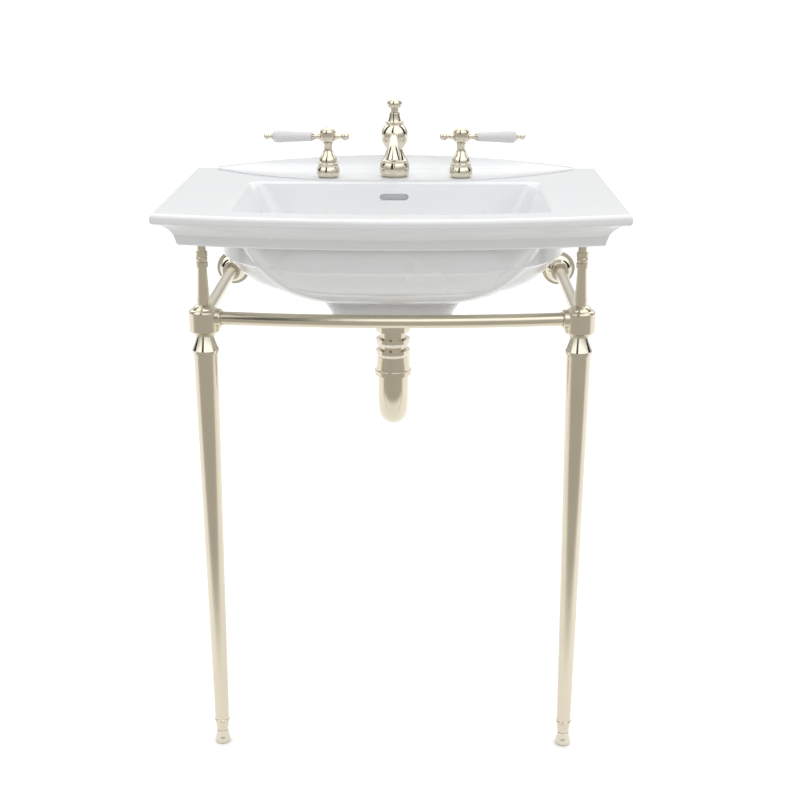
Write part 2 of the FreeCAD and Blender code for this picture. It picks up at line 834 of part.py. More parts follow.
def drill_basin(body):
    """The waste's seat and hole, the three tap holes and the two wall bolt holes."""
    seat = size.FlangeDiameter + size.SeatClearance * 2
    bore(body, "XY_Plane", FLOOR_TOP, seat, size.FlangeThickness, y=DRAIN_BACK)
    bore(body, "XY_Plane", FLOOR_TOP, size.DrainHole, size.HullDrop, y=DRAIN_BACK)
    bore(body, "XY_Plane", LEDGE_TOP, size.TapHole, LEDGE_TOP - DECK_BOTTOM, y=-size.SpoutFromWall)
    for unused, side in SIDES:
        tap_x, bolt_x = size.TapSpacing / 2 * side, size.WallBoltSpacing / 2 * side
        bore(body, "XY_Plane", LEDGE_TOP, size.TapHole, LEDGE_TOP - DECK_BOTTOM, tap_x, -size.TapFromWall)
        bore(body, "XZ_Plane", 0, size.WallBoltHole, size.ApronWall + CUT_MARGIN, bolt_x,
             size.RimHeight - size.WallBoltDrop, backwards=True)


def basin():
    body = new_body("basin", y=WALL)
    add_rim(body)
    add_ledge(body)
    add_hull(body)
    add_bowl(body)
    for unused, side in SIDES:
        pad = new_sketch(body, "XY_Plane", RIM_BOTTOM)
        draw_circle(pad, size.PostPadDiameter, size.LegHalfSpacing * side, -size.LegFromWall)
        extrude(body, pad, DECK_BOTTOM - RIM_BOTTOM)
    add_overflow(body)
    drill_basin(body)
    return body


# The stand

RAIL_SINE = size.LegHalfSpacing / RAIL_RADIUS
RAIL_COSINE = root(1 - RAIL_SINE * RAIL_SINE)
RAIL_SOCKET = size.RailDiameter / 2 + size.SeatClearance


def foot(label, x):
    """A levelling foot: a bell with a narrow ankle, and a stud that screws into the leg."""
    ankle, stud = size.AnkleDiameter / 2, size.FootStudDiameter / 2
    top = size.AnkleHeight + size.FootStudLength
    edge = (size.FootDiameter / 2, size.FootEdgeHeight, bend(60))
    outline = [(0, 0), (size.FootSoleDiameter / 2, 0), edge, (ankle, size.FootHeight, bend(-20)),
               (ankle, size.AnkleHeight), (stud, size.AnkleHeight), (stud, top), (0, top)]
    return turned(label, outline, x, LEG_Y)


def leg(label, x):
    """A tapered tube with a ring at its ankle and a plug inside that takes the foot's stud."""
    bore_radius = size.FootStudDiameter / 2 + size.RunningClearance
    bottom, ring = size.AnkleHeight + size.MovingClearance, size.LegRingDiameter / 2
    ring_top, low, high = bottom + size.LegRingHeight, size.LegBottomDiameter / 2, size.LegTopDiameter / 2
    outline = [(bore_radius, bottom), (size.AnkleDiameter / 2, bottom),
               (ring, ring_top - size.LegRingWidth, bend(-30)), (ring, ring_top), (low, ring_top),
               (high, size.LegTopHeight),
               (high - size.LegWall, size.LegTopHeight), (low - size.LegWall, size.LegPlugHeight),
               (bore_radius, size.LegPlugHeight)]
    return turned(label, outline, x, LEG_Y)


def leg_cap(label, x):
    """The cone on top of the leg, with a spigot inside the tube."""
    base, spigot = size.CapBaseDiameter / 2, size.LegTopDiameter / 2 - size.LegWall - size.SeatClearance
    start, seat = size.LegTopHeight - size.CapSpigot, size.LegTopHeight
    outline = [(0, start), (spigot, start), (spigot, seat), (base, seat), (base, seat + size.CapBaseHeight),
               (size.CapTopDiameter / 2, CAP_TOP, bend(-8)), (0, CAP_TOP)]
    return turned(label, outline, x, LEG_Y)


def hub(label, x, side):
    """The hub on the leg: a drum with a domed top, a boss for the front rail and a side socket."""
    drum, ring, dome = size.HubDiameter / 2, size.HubRingDiameter / 2, size.HubDomeDiameter / 2
    ring_top, dome_start = CAP_TOP + size.HubRingHeight, HUB_TOP - size.HubDomeHeight
    outline = [(0, CAP_TOP), (ring, CAP_TOP), (ring, ring_top), (drum - size.HubChamfer, ring_top),
               (drum, ring_top + size.HubChamfer), (drum, dome_start - size.HubShoulder),
               (drum - size.HubShoulder, dome_start, bend(90)), (dome, dome_start),
               (size.PostFootDiameter / 2, HUB_TOP, bend(50)), (0, HUB_TOP)]
    body = turned(label, outline, x, LEG_Y)
    axis = Axis((0, 0), (RAIL_COSINE * -side, -RAIL_SINE))
    boss, soft, reach = size.BossDiameter / 2, size.BossRound, size.BossReach
    spin_along(body, "XY_Plane", size.RailHeight, axis,
               [(0, 0), (reach, 0), (reach, boss - soft), (reach - soft, boss, bend(90)), (0, boss)])
    spin_along(body, "XY_Plane", size.RailHeight, axis,
               ring_outline_along(0, RAIL_SOCKET, reach - size.RailSocketDepth, reach + CUT_MARGIN), cut=True)
    bore(body, "XZ_Plane", -drum - CUT_MARGIN, RAIL_SOCKET * 2, size.RailSocketDepth + CUT_MARGIN,
         y=size.RailHeight, backwards=True)
    return body


def post(label, x):
    """The turned post that stands on the hub and carries the basin's rim."""
    shoe, low, high = size.PostFootDiameter / 2, size.PostBottomDiameter / 2, size.PostTopDiameter / 2
    ring, bead = size.PostRingDiameter / 2, size.PostBeadDiameter / 2
    neck, head = size.PostNeckDiameter / 2, size.PostHeadDiameter / 2
    shoe_top, plate = HUB_TOP + size.PostFootHeight, RIM_BOTTOM - size.PostHeadHeight
    first = RIM_BOTTOM - size.PostRingDrop
    bead_start = first + size.PostRingHeight
    second = bead_start + size.PostBeadHeight
    outline = [(0, HUB_TOP), (shoe, HUB_TOP), (shoe, shoe_top), (low, shoe_top), (high, first), (ring, first),
               (ring, bead_start), (bead, bead_start), (bead, second, bend(60)), (ring, second),
               (ring, second + size.PostRingHeight), (neck, second + size.PostRingHeight), (neck, plate),
               (head, plate), (head, RIM_BOTTOM), (0, RIM_BOTTOM)]
    return turned(label, outline, x, LEG_Y)


def side_rail(label, x):
    """A straight tube from the hub's socket to the rosette's."""
    start = LEG_Y + size.HubDiameter / 2 - size.RailSocketDepth
    end = WALL - size.RoseCollarDepth + size.RailSocketDepth
    body = new_body(label, x, end, size.RailHeight)
    section = new_sketch(body, "XZ_Plane")
    draw_circle(section, size.RailDiameter)
    draw_circle(section, size.RailDiameter - size.RailWall * 2)
    extrude(body, section, end - start)
    return body


def front_rail():
    """The tube between the two hubs, bowed like the basin's front."""
    body = new_body("front_rail", y=LEG_Y - size.RailBow + RAIL_RADIUS, z=size.RailHeight)
    section = new_sketch(body, "YZ_Plane")
    draw_circle(section, size.RailDiameter, -RAIL_RADIUS)
    draw_circle(section, size.RailDiameter - size.RailWall * 2, -RAIL_RADIUS)
    end = size.LegHalfSpacing - (size.BossReach - size.RailSocketDepth) * RAIL_COSINE
    spin(body, section, angle=arcsine(end / RAIL_RADIUS) * 2)
    return body


def wall_rosette(label, x):
    """A bell on the wall that holds the side rail; its bolt hole is hidden by the rail."""
    disc, bell, collar = size.RoseDiameter / 2, size.RoseBellDiameter / 2, size.RoseCollarDiameter / 2
    bolt, depth = size.RoseBoltHole / 2, size.RoseCollarDepth
    outline = [(bolt, 0), (disc, 0), (disc, size.RoseEdge), (bell, size.RoseEdge),
               (collar, size.RoseBellDepth, bend(50)), (collar, depth), (RAIL_SOCKET, depth),
               (RAIL_SOCKET, depth - size.RailSocketDepth), (bolt, depth - size.RailSocketDepth)]
    body = turned(label, outline, x, WALL, size.RailHeight, FROM_WALL)
    bore(body, "XZ_Plane", -collar - CUT_MARGIN, size.SetScrewDiameter + size.SeatClearance * 2,
         collar + CUT_MARGIN, y=depth - size.SetScrewFromEdge, backwards=True)
    return body


def rosette_screws():
    """The two grub screws in the rosettes' collars, each with a hexagon socket."""
    bottom, top = size.RailDiameter / 2, size.RoseCollarDiameter / 2
    screws = []
    for name, side in SIDES:
        grub = document.addObject("Part::Cylinder", f"{name}_grub")
        grub.setExpression("Radius", text_of(size.SetScrewDiameter / 2))
        grub.setExpression("Height", text_of(top - bottom))
        socket = document.addObject("Part::Prism", f"{name}_grub_socket")
        socket.Polygon = 6
        socket.setExpression("Circumradius", text_of(size.SetScrewSocket / 2))
        socket.setExpression("Height", text_of(top - bottom))
        place(grub, size.LegHalfSpacing * side, WALL - size.RoseCollarDepth + size.SetScrewFromEdge,
              size.RailHeight + bottom)
        place(socket, size.LegHalfSpacing * side, WALL - size.RoseCollarDepth + size.SetScrewFromEdge,
              size.RailHeight + (top + bottom) / 2)
        screw = document.addObject("Part::Cut", f"{name}_screw")
        screw.Base = grub
        screw.Tool = socket
        screws.append(screw)
    group = document.addObject("Part::Compound", "rosette_screws")
    group.Links = screws
    return group


# The tap set; heights are from the top of the ledge

SHANK = size.ShankDiameter / 2
SHANK_SOCKET = SHANK + size.SeatClearance
STEM_BORE = size.StemDiameter / 2 + size.RunningClearance
ROD_BORE = size.LiftRodDiameter / 2 + size.MovingClearance
TUBE_SOCKET = size.TubeDiameter / 2 + size.SeatClearance
TUBE_BORE = size.TubeDiameter / 2 - size.TubeWall
HUB_START = size.BaseNeckHeight + size.MovingClearance
HUB_END = HUB_START + size.HandleHubHeight
GRIP_BORE = size.FinialStudDiameter / 2 + size.SeatClearance


def socket_arm(body, axis, reach, inside):
    """A branch along an axis with a socket for the connecting tube, open to the inside."""
    spin_along(body, "XZ_Plane", 0, axis, ring_outline_along(0, size.TeeArmDiameter / 2, 0, reach))
    spin_along(body, "XZ_Plane", 0, axis, ring_outline_along(0, TUBE_BORE, inside, reach), cut=True)
    spin_along(body, "XZ_Plane", 0, axis,
               ring_outline_along(0, TUBE_SOCKET, reach - size.TubeSocket, reach + CUT_MARGIN), cut=True)


def valve_body(label, x, side):
    """The valve under the deck: shank, chamber with a branch to the spout, and inlet."""
    chamber, inlet, water = size.ValveBodyDiameter / 2, size.InletDiameter / 2, size.InletBore / 2
    top = size.ValveBodyHeight / 2 - size.TubeDrop
    bottom = top - size.ValveBodyHeight
    end, stem_end = bottom - size.InletLength, -size.StemDepth - size.MovingClearance
    seat = stem_end - size.ValveSeatThickness
    outline = [(0, end), (inlet, end), (inlet, bottom), (chamber, bottom), (chamber, top), (SHANK, top),
               (SHANK, size.ShankTop), (0, size.ShankTop)]
    body = turned(label, outline, x, TAP_Y, LEDGE_TOP)
    socket_arm(body, Axis((0, -size.TubeDrop), (-side, 0)), size.ValvePortReach, 0)
    for radius, low, high in ((water, end, seat), (STEM_BORE, stem_end, size.ShankTop)):
        bore(body, "XY_Plane", high, radius * 2, high - low)
    return body


def lock_nut(label, x, y):
    """A hexagon nut under the deck that clamps a shank."""
    body = new_body(label, x, y, DECK_BOTTOM - size.LockNutHeight)
    outline = new_sketch(body, "XY_Plane")
    hexagon(outline, size.LockNutWidth)
    draw_circle(outline, SHANK_SOCKET * 2)
    extrude(body, outline, size.LockNutHeight)
    return body


def valve_stem(label, x):
    """The stem that the handle turns."""
    outline = ring_outline(0, size.StemDiameter, -size.StemDepth, size.StemTop)
    return turned(label, outline, x, TAP_Y, LEDGE_TOP)


def handle_base(label, x):
    """The turned base of a handle: foot, bulge, stepped ring, bell and neck."""
    ring, neck = size.BaseStepDiameter / 2, size.BaseNeckDiameter / 2
    ring_top = size.BaseStepHeight + size.BaseStepRing
    cavity = size.ShankTop + size.HoleClearance
    outline = [(SHANK_SOCKET, 0), (size.BaseFootDiameter / 2, 0),
               (size.BaseBulgeDiameter / 2, size.BaseBulgeHeight, bend(60)),
               (ring, size.BaseStepHeight, bend(50)), (ring, ring_top), (size.BaseBellDiameter / 2, ring_top),
               (size.BaseWaistDiameter / 2, size.BaseWaistHeight, bend(30)),
               (neck, size.BaseBellHeight, bend(-40)), (neck, size.BaseNeckHeight),
               (STEM_BORE, size.BaseNeckHeight), (STEM_BORE, cavity), (SHANK_SOCKET, cavity)]
    return turned(label, outline, x, TAP_Y, LEDGE_TOP)


def ball_end(tip, diameter, neck):
    """The outline of a ball on a neck: from its tip round to the neck, in along and out."""
    radius, slim = diameter / 2, neck / 2
    centre = tip - radius
    return [(tip, 0), (centre, radius, bend(90)),
            (centre - root(radius * radius - slim * slim), slim, tangent(arccosine(slim / radius) / 4))]


def handle_hub(label, x, side):
    """The barrel on the stem, the ferrule arm of the lever and the counter arm with its ball."""
    barrel, soft = size.HandleHubDiameter / 2, size.HandleHubRound
    seat = size.StemDiameter / 2 + size.SeatClearance
    outline = [(0, HUB_START), (barrel - soft, HUB_START), (barrel, HUB_START + soft, bend(90)),
               (barrel, HUB_END - soft), (barrel - soft, HUB_END, bend(90)), (0, HUB_END)]
    body = turned(label, outline, x, TAP_Y, LEDGE_TOP)
    neck, ferrule, start = size.LeverNeckDiameter / 2, size.LeverFerruleDiameter / 2, size.LeverStart
    stud_end = start - size.FinialStudSocket
    spin_along(body, "XZ_Plane", 0, Axis((0, size.LeverHeight), (side, 0)),
               [(0, 0), (stud_end, 0), (stud_end, GRIP_BORE), (start, GRIP_BORE), (start, ferrule),
                (size.LeverNeckEnd, neck, bend(-20)), (0, neck)])
    spin_along(body, "XZ_Plane", 0, Axis((0, size.LeverHeight), (-side, 0)),
               [(0, 0)] + ball_end(size.CounterTip, size.CounterBallDiameter, size.CounterNeckDiameter)
               + [(0, size.CounterNeckDiameter / 2)])
    bore(body, "XY_Plane", HUB_END, seat * 2, size.HandleHubHeight)
    return body


def dome(height, radius):
    """The bulge of an arc from a rim to the top of a dome."""
    return tangent(arctangent(height / radius) / 2)


def handle_cap(label, x):
    """The domed cap that closes the barrel."""
    radius, height = size.HandleCapDiameter / 2, size.HandleCapHeight
    outline = [(0, HUB_END), (radius, HUB_END), (0, HUB_END + height, dome(height, radius))]
    return turned(label, outline, x, TAP_Y, LEDGE_TOP)


def lever_piece(label, x, side, outline):
    """A piece turned about the lever's own line."""
    body = new_body(label, x, TAP_Y, LEDGE_TOP)
    spin_along(body, "XZ_Plane", 0, Axis((0, size.LeverHeight), (side, 0)), outline)
    return body


def lever_grip(label, x, side):
    """The ceramic grip, which widens to a rounded outer end."""
    start, end, thick = size.LeverStart, size.LeverEnd, size.LeverOuterDiameter / 2
    soft = size.LeverEndRound
    outline = [(start, GRIP_BORE), (end, GRIP_BORE), (end, thick - soft), (end - soft, thick, bend(90)),
               (start, size.LeverInnerDiameter / 2, bend(8))]
    return lever_piece(label, x, side, outline)


def lever_finial(label, x, side):
    """The finial: a ball and a collar, with the stud that clamps the grip to the ferrule."""
    end, collar, stud = size.LeverEnd, size.FinialCollarDiameter / 2, size.FinialStudDiameter / 2
    collar_end, neck = end + size.FinialCollarLength, size.FinialNeckDiameter / 2
    start = size.LeverStart - size.FinialStudSocket + size.SeatClearance
    outline = ([(start, 0)] + ball_end(size.FinialTip, size.FinialDiameter, size.FinialNeckDiameter)
               + [(collar_end, neck), (collar_end, collar), (end, collar), (end, stud), (start, stud)])
    return lever_piece(label, x, side, outline)


def connecting_tube(label, side):
    """The tube from a valve's branch to the tee, with an S-bend between two straight ends."""
    near = size.TeeArmReach - size.TubeSocket
    far = size.TapSpacing / 2 - size.ValvePortReach + size.TubeSocket
    bend_start, bend_end = near + size.TubeSocket, far - size.TubeSocket
    offset = TAP_Y - SPOUT_Y
    middle = (bend_start + bend_end) / 2
    turn = tangent(arctangent(offset / (bend_end - bend_start)) / 2)
    body = new_body(label, 0, SPOUT_Y, LEDGE_TOP - size.TubeDrop)
    path = new_sketch(body, "XY_Plane")
    draw(path, [(near * side, 0), (bend_start * side, 0), (middle * side, offset / 2, turn * side),
                (bend_end * side, offset, turn * -side), (far * side, offset)], closed=False)
    section = new_sketch(body, "YZ_Plane", near * side)
    draw_circle(section, size.TubeDiameter)
    draw_circle(section, TUBE_BORE * 2)
    sweep(body, section, path)
    return body


def spout_base():
    """The turned base of the spout."""
    ring, ring_top = size.SpoutStepDiameter / 2, size.SpoutStepHeight + size.SpoutStepRing
    outline = [(SHANK_SOCKET, 0), (size.SpoutFootDiameter / 2, 0),
               (size.SpoutBellDiameter / 2, size.SpoutBellHeight, bend(60)),
               (ring, size.SpoutStepHeight, bend(40)), (ring, ring_top), (ring - size.SpoutStepRing, ring_top),
               (size.SpoutTopDiameter / 2, size.SpoutBaseHeight, bend(-30)),
               (SHANK_SOCKET, size.SpoutBaseHeight)]
    return turned("spout_base", outline, 0, SPOUT_Y, LEDGE_TOP)


# The nozzle's path: it rises from the bulb, then arches over and down to its mouth
NOZZLE_RUN = size.NozzleReach - size.NozzleBend
NOZZLE_TOP = size.SpoutBulbHeight + size.NozzleRise
NOZZLE_RISE_ANGLE = arctangent(size.NozzleRise / NOZZLE_RUN)
NOZZLE_FALL_ANGLE = arctangent(size.NozzleDrop / size.NozzleBend)
NOZZLE_END_ANGLE = NOZZLE_FALL_ANGLE * 2 + NOZZLE_RISE_ANGLE


def nozzle_axis():
    """The line through the nozzle's mouth, along the way the water leaves."""
    mouth = (-size.NozzleReach, NOZZLE_TOP - size.NozzleDrop)
    return Axis(mouth, (-cosine(NOZZLE_END_ANGLE), -sine(NOZZLE_END_ANGLE)))


def spout_body():
    """The spout: shank, waisted bulb, shouldered neck, and the nozzle with its flared mouth."""
    waist, bulb = size.SpoutWaistDiameter / 2, size.SpoutBulbDiameter / 2
    shoulder, ring_top = size.SpoutShoulderDiameter / 2, size.SpoutShoulderHeight + size.SpoutShoulderRing
    neck, collar = size.SpoutNeckDiameter / 2, size.SpoutNeckCollar / 2
    collar_start = size.SpoutNeckHeight - size.SpoutCollarHeight
    outline = [(0, TEE_TOP - size.TubeSocket), (SHANK, TEE_TOP - size.TubeSocket),
               (SHANK, size.SpoutBaseHeight), (size.SpoutTopDiameter / 2, size.SpoutBaseHeight),
               (waist, size.SpoutWaistHeight, bend(-30)), (bulb, size.SpoutBulbHeight, bend(70)),
               (shoulder, size.SpoutShoulderHeight, bend(60)), (shoulder, ring_top), (collar, ring_top),
               (neck, collar_start, bend(-15)), (collar, collar_start), (collar, size.SpoutNeckHeight),
               (0, size.SpoutNeckHeight)]
    body = turned("spout_body", outline, 0, SPOUT_Y, LEDGE_TOP)
    path = new_sketch(body, "YZ_Plane")
    arch = tangent((NOZZLE_RISE_ANGLE + NOZZLE_FALL_ANGLE) / 2)
    draw(path, [(0, size.SpoutBulbHeight), (-NOZZLE_RUN, NOZZLE_TOP),
                (-size.NozzleReach, NOZZLE_TOP - size.NozzleDrop, arch)], closed=False)
    section = new_sketch(body, "XZ_Plane")
    draw_circle(section, size.NozzleDiameter, 0, size.SpoutBulbHeight)
    sweep(body, section, path)
    mouth, pipe, length = size.NozzleMouthDiameter / 2, size.NozzleDiameter / 2, size.NozzleMouthLength
    insert = size.AeratorDiameter / 2 + size.SeatClearance
    spin_along(body, "YZ_Plane", 0, nozzle_axis(),
               [(-length, 0), (0, 0), (0, mouth), (-size.NozzleLip, mouth), (-length, pipe, bend(-20))])
    spin_along(body, "YZ_Plane", 0, nozzle_axis(),
               ring_outline_along(0, insert, -size.AeratorHeight, CUT_MARGIN), cut=True)
    spin_along(body, "YZ_Plane", 0, nozzle_axis(),
               ring_outline_along(0, size.AeratorBore / 2, -length, 0), cut=True)
    bore(body, "XY_Plane", size.SpoutNeckHeight, ROD_BORE * 2,
         size.SpoutNeckHeight - TEE_TOP + size.TubeSocket)
    return body


def spout_aerator():
    """The ring in the nozzle's mouth that the water leaves through."""
    body = new_body("spout_aerator", 0, SPOUT_Y, LEDGE_TOP)
    spin_along(body, "YZ_Plane", 0, nozzle_axis(),
               ring_outline_along(size.AeratorHole / 2, size.AeratorDiameter / 2, -size.AeratorHeight, 0))
    return body


TEE_TOP = size.TeeHeight / 2 - size.TubeDrop
TEE_BOTTOM = TEE_TOP - size.TeeHeight


def mixing_tee():
    """The tee on the spout's shank that both connecting tubes enter."""
    outline = ring_outline(0, size.TeeDiameter, TEE_BOTTOM, TEE_TOP)
    body = turned("mixing_tee", outline, 0, SPOUT_Y, LEDGE_TOP)
    for unused, side in SIDES:
        socket_arm(body, Axis((0, -size.TubeDrop), (side, 0)), size.TeeArmReach, SHANK)
    bore(body, "XY_Plane", TEE_TOP, SHANK_SOCKET * 2, size.TubeSocket)
    bore(body, "XY_Plane", TEE_TOP, ROD_BORE * 2, size.TeeHeight)
    return body


# The pop-up waste

SEAT_TOP = FLOOR_TOP - size.StopperThickness
WASTE_NUT_BOTTOM = FLOOR_BOTTOM - size.GasketThickness - size.DrainNutHeight
FLANGE_TUBE = size.FlangeTubeDiameter / 2
FLANGE_SOCKET = FLANGE_TUBE + size.SeatClearance
TAIL_SOCKET = size.TailDiameter / 2 + size.SeatClearance
TAIL_TOP = size.DrainBodyBottom + size.TailSocket
BALL_BORE = size.PivotBallDiameter / 2 + size.MovingClearance
PORT_END = size.PivotReach + size.PivotPortOverlap
STRAP_Y = size.LiftRodDiameter / 2 + size.ClevisThickness / 2
CLEVIS_SCREW_HEIGHT = size.ClevisTop - size.ClevisBlockHeight / 2


def drain_flange():
    """The flange in the bowl's floor with its seat for the stopper, and the threaded tube."""
    water, seat, rim = size.FlangeBore / 2, size.FlangeSeatBore / 2, size.FlangeDiameter / 2
    bottom, under = FLOOR_TOP - size.FlangeTubeLength, FLOOR_TOP - size.FlangeThickness
    outline = [(water, bottom), (FLANGE_TUBE, bottom), (FLANGE_TUBE, under), (rim, under),
               (rim - size.FlangeThickness, FLOOR_TOP, bend(60)), (seat, FLOOR_TOP), (seat, SEAT_TOP),
               (water, SEAT_TOP)]
    return turned("drain_flange", outline, 0, DRAIN_Y)


def drain_stopper():
    """The stopper, raised off its seat, with the eye that the pivot rod's tip lifts."""
    radius, stem, height = size.StopperDiameter / 2, size.StopperStemDiameter / 2, size.StopperDome
    under = SEAT_TOP + size.StopperLift
    top, eye_top = under + size.StopperThickness, size.PivotHeight + size.StopperEyeWidth / 2
    stem_end = eye_top - size.StopperEyeThickness
    outline = [(0, stem_end), (stem, stem_end), (stem, under), (radius, under), (radius, top),
               (0, top + height, dome(height, radius))]
    body = turned("drain_stopper", outline, 0, DRAIN_Y)
    eye = new_sketch(body, "XZ_Plane")
    draw_circle(eye, size.StopperEyeWidth, 0, size.PivotHeight)
    extrude(body, eye, size.StopperEyeThickness, both_ways=True)
    hole = new_sketch(body, "XZ_Plane")
    draw_circle(hole, size.PivotRodDiameter + size.HoleClearance * 2, 0, size.PivotHeight)
    extrude(body, hole, size.StopperEyeWidth, cut=True, both_ways=True)
    return body


def drain_body():
    """The body under the waste nut, with the port that the pivot rod enters from behind."""
    outline = ring_outline(0, size.DrainBodyDiameter, size.DrainBodyBottom, WASTE_NUT_BOTTOM)
    body = turned("drain_body", outline, 0, DRAIN_Y)
    axis = Axis((0, size.PivotHeight), (1, 0))
    spin_along(body, "YZ_Plane", 0, axis, ring_outline_along(0, size.PivotPortDiameter / 2, 0, PORT_END))
    spin_along(body, "YZ_Plane", 0, axis,
               ring_outline_along(0, BALL_BORE, 0, PORT_END + CUT_MARGIN), cut=True)
    tube_end = FLOOR_TOP - size.FlangeTubeLength
    bore(body, "XY_Plane", WASTE_NUT_BOTTOM, size.DrainThroatDiameter, WASTE_NUT_BOTTOM - size.DrainBodyBottom)
    bore(body, "XY_Plane", WASTE_NUT_BOTTOM, FLANGE_SOCKET * 2, WASTE_NUT_BOTTOM - tube_end)
    bore(body, "XY_Plane", TAIL_TOP, TAIL_SOCKET * 2, size.TailSocket)
    return body


def drain_gasket():
    """The seal between the bowl's underside and the waste nut."""
    bottom = FLOOR_BOTTOM - size.GasketThickness
    return turned("drain_gasket", ring_outline(FLANGE_SOCKET * 2, size.GasketDiameter, bottom, FLOOR_BOTTOM),
                  0, DRAIN_Y)


def drain_nut():
    """The large hexagon nut that pulls the flange down on the bowl."""
    body = new_body("drain_nut", 0, DRAIN_Y, WASTE_NUT_BOTTOM)
    outline = new_sketch(body, "XY_Plane")
    hexagon(outline, size.DrainNutWidth)
    draw_circle(outline, FLANGE_SOCKET * 2)
    extrude(body, outline, size.DrainNutHeight)
    return body


def pivot_rod():
    """The horizontal rod with its ball, from the stopper's eye to the clevis."""
    rod, ball, middle = size.PivotRodDiameter / 2, size.PivotBallDiameter / 2, size.PivotReach
    start = -size.StopperEyeWidth / 2
    end = size.DrainFromWall - size.SpoutFromWall + STRAP_Y + size.PivotRodOverhang
    half = root(ball * ball - rod * rod)
    outline = [(0, start), (rod, start), (rod, middle - half),
               (rod, middle + half, tangent(arccosine(rod / ball) / 2)), (rod, end), (0, end)]
    return turned("pivot_rod", outline, 0, DRAIN_Y, size.PivotHeight, TO_WALL)


def pivot_nut():
    """The nut that closes the port round the ball and leaves the rod room to swing."""
    port, swing = size.PivotPortDiameter / 2 + size.SeatClearance, size.PivotSwingHole / 2
    outer = size.PivotNutDiameter / 2
    end, cup = size.PivotNutEnd, size.PivotReach + BALL_BORE
    start, shoulder = PORT_END - size.PivotNutThread, PORT_END + size.SeatClearance
    outline = [(port, start), (outer, start), (outer, end), (swing, end), (swing, cup), (BALL_BORE, cup),
               (BALL_BORE, shoulder), (port, shoulder)]
    return turned("pivot_nut", outline, 0, DRAIN_Y, size.PivotHeight, TO_WALL)


def lift_rod():
    """The lift rod through spout and tee, with its collar and flattened ball knob."""
    rod, collar, knob = size.LiftRodDiameter / 2, size.LiftCollarDiameter / 2, size.LiftKnobDiameter / 2
    start = LEDGE_TOP + size.SpoutNeckHeight + size.MovingClearance
    base = start + size.LiftCollarHeight
    half, side = size.LiftKnobHeight / 2, size.LiftKnobSide
    middle, inner = base + half, knob - side
    below = (inner * inner - (half - side) * (half - side)) / ((half - side) * 2)
    share = (below + half) / (below + half - side)
    tip_x, tip_rise = inner * share, below * share - below
    round_side = tangent(arctangent(tip_rise / (tip_x - inner)) / 2)
    outline = [(0, size.LiftRodBottom), (rod, size.LiftRodBottom), (rod, start), (collar, start),
               (collar, base), (tip_x, middle - tip_rise), (tip_x, middle + tip_rise, round_side),
               (0, base + half * 2, tangent(arctangent(inner / below) / 4))]
    return turned("lift_rod", outline, 0, SPOUT_Y)


def lift_clevis():
    """The strap that hangs from the lift rod, with a block for the rod and a row of holes."""
    half, rod = size.ClevisWidth / 2, size.LiftRodDiameter / 2
    back, block_bottom = rod + size.ClevisThickness, size.ClevisTop - size.ClevisBlockHeight
    body = new_body("lift_clevis", 0, SPOUT_Y)
    block = new_sketch(body, "XY_Plane", block_bottom)
    front = -rod - size.ClevisBlockWall
    draw(block, [(-half, front), (half, front), (half, back), (-half, back)])
    extrude(body, block, size.ClevisBlockHeight)
    strap = new_sketch(body, "XY_Plane", size.PivotHeight - size.ClevisTail)
    draw(strap, [(-half, rod), (half, rod), (half, back), (-half, back)])
    extrude(body, strap, size.ClevisTop - size.PivotHeight + size.ClevisTail)
    bore(body, "XY_Plane", size.ClevisTop, size.LiftRodDiameter + size.RunningClearance * 2,
         size.ClevisBlockHeight)
    holes = new_sketch(body, "XZ_Plane", -back - CUT_MARGIN)
    for place_in_row in range(CLEVIS_HOLES):
        draw_circle(holes, size.PivotRodDiameter + size.HoleClearance * 2, 0,
                    size.PivotHeight + size.ClevisHoleSpacing * place_in_row)
    draw_circle(holes, size.ClevisStudDiameter + size.SeatClearance * 2, 0, CLEVIS_SCREW_HEIGHT)
    extrude(body, holes, back + CUT_MARGIN, cut=True, backwards=True)
    return body


def clevis_screw():
    """The thumb screw that clamps the strap to the lift rod."""
    stud, head, rod = size.ClevisStudDiameter / 2, size.ClevisScrewDiameter / 2, size.LiftRodDiameter / 2
    seat = rod + size.ClevisThickness
    end = seat + size.ClevisScrewLength
    outline = [(0, rod), (stud, rod), (stud, seat), (head, seat), (head, end), (0, end)]
    return turned("clevis_screw", outline, 0, SPOUT_Y, CLEVIS_SCREW_HEIGHT, TO_WALL)


# The trap

TRAP_SOCKET = size.TrapDiameter / 2 + size.SeatClearance
ARM_SOCKET = size.ArmDiameter / 2 + size.SeatClearance
ARM_BOTTOM = size.TrapOutletTop - size.ArmInsert
ARM_Y = DRAIN_Y + size.TrapBendRadius * 2


def tailpiece():
    """The straight tube from the waste down into the trap."""
    outline = ring_outline(size.TailDiameter - size.TailWall * 2, size.TailDiameter, size.TailBottom, TAIL_TOP)
    return turned("tailpiece", outline, 0, DRAIN_Y)


def slip_ring(label, top):
    """A ring with a straight band and a tapered foot."""
    bottom, edge = top - size.RingHeight, size.RingDiameter / 2
    outline = [(TAIL_SOCKET, bottom), (size.RingFootDiameter / 2, bottom), (edge, top - size.RingBand),
               (edge, top), (TAIL_SOCKET, top)]
    return turned(label, outline, 0, DRAIN_Y)


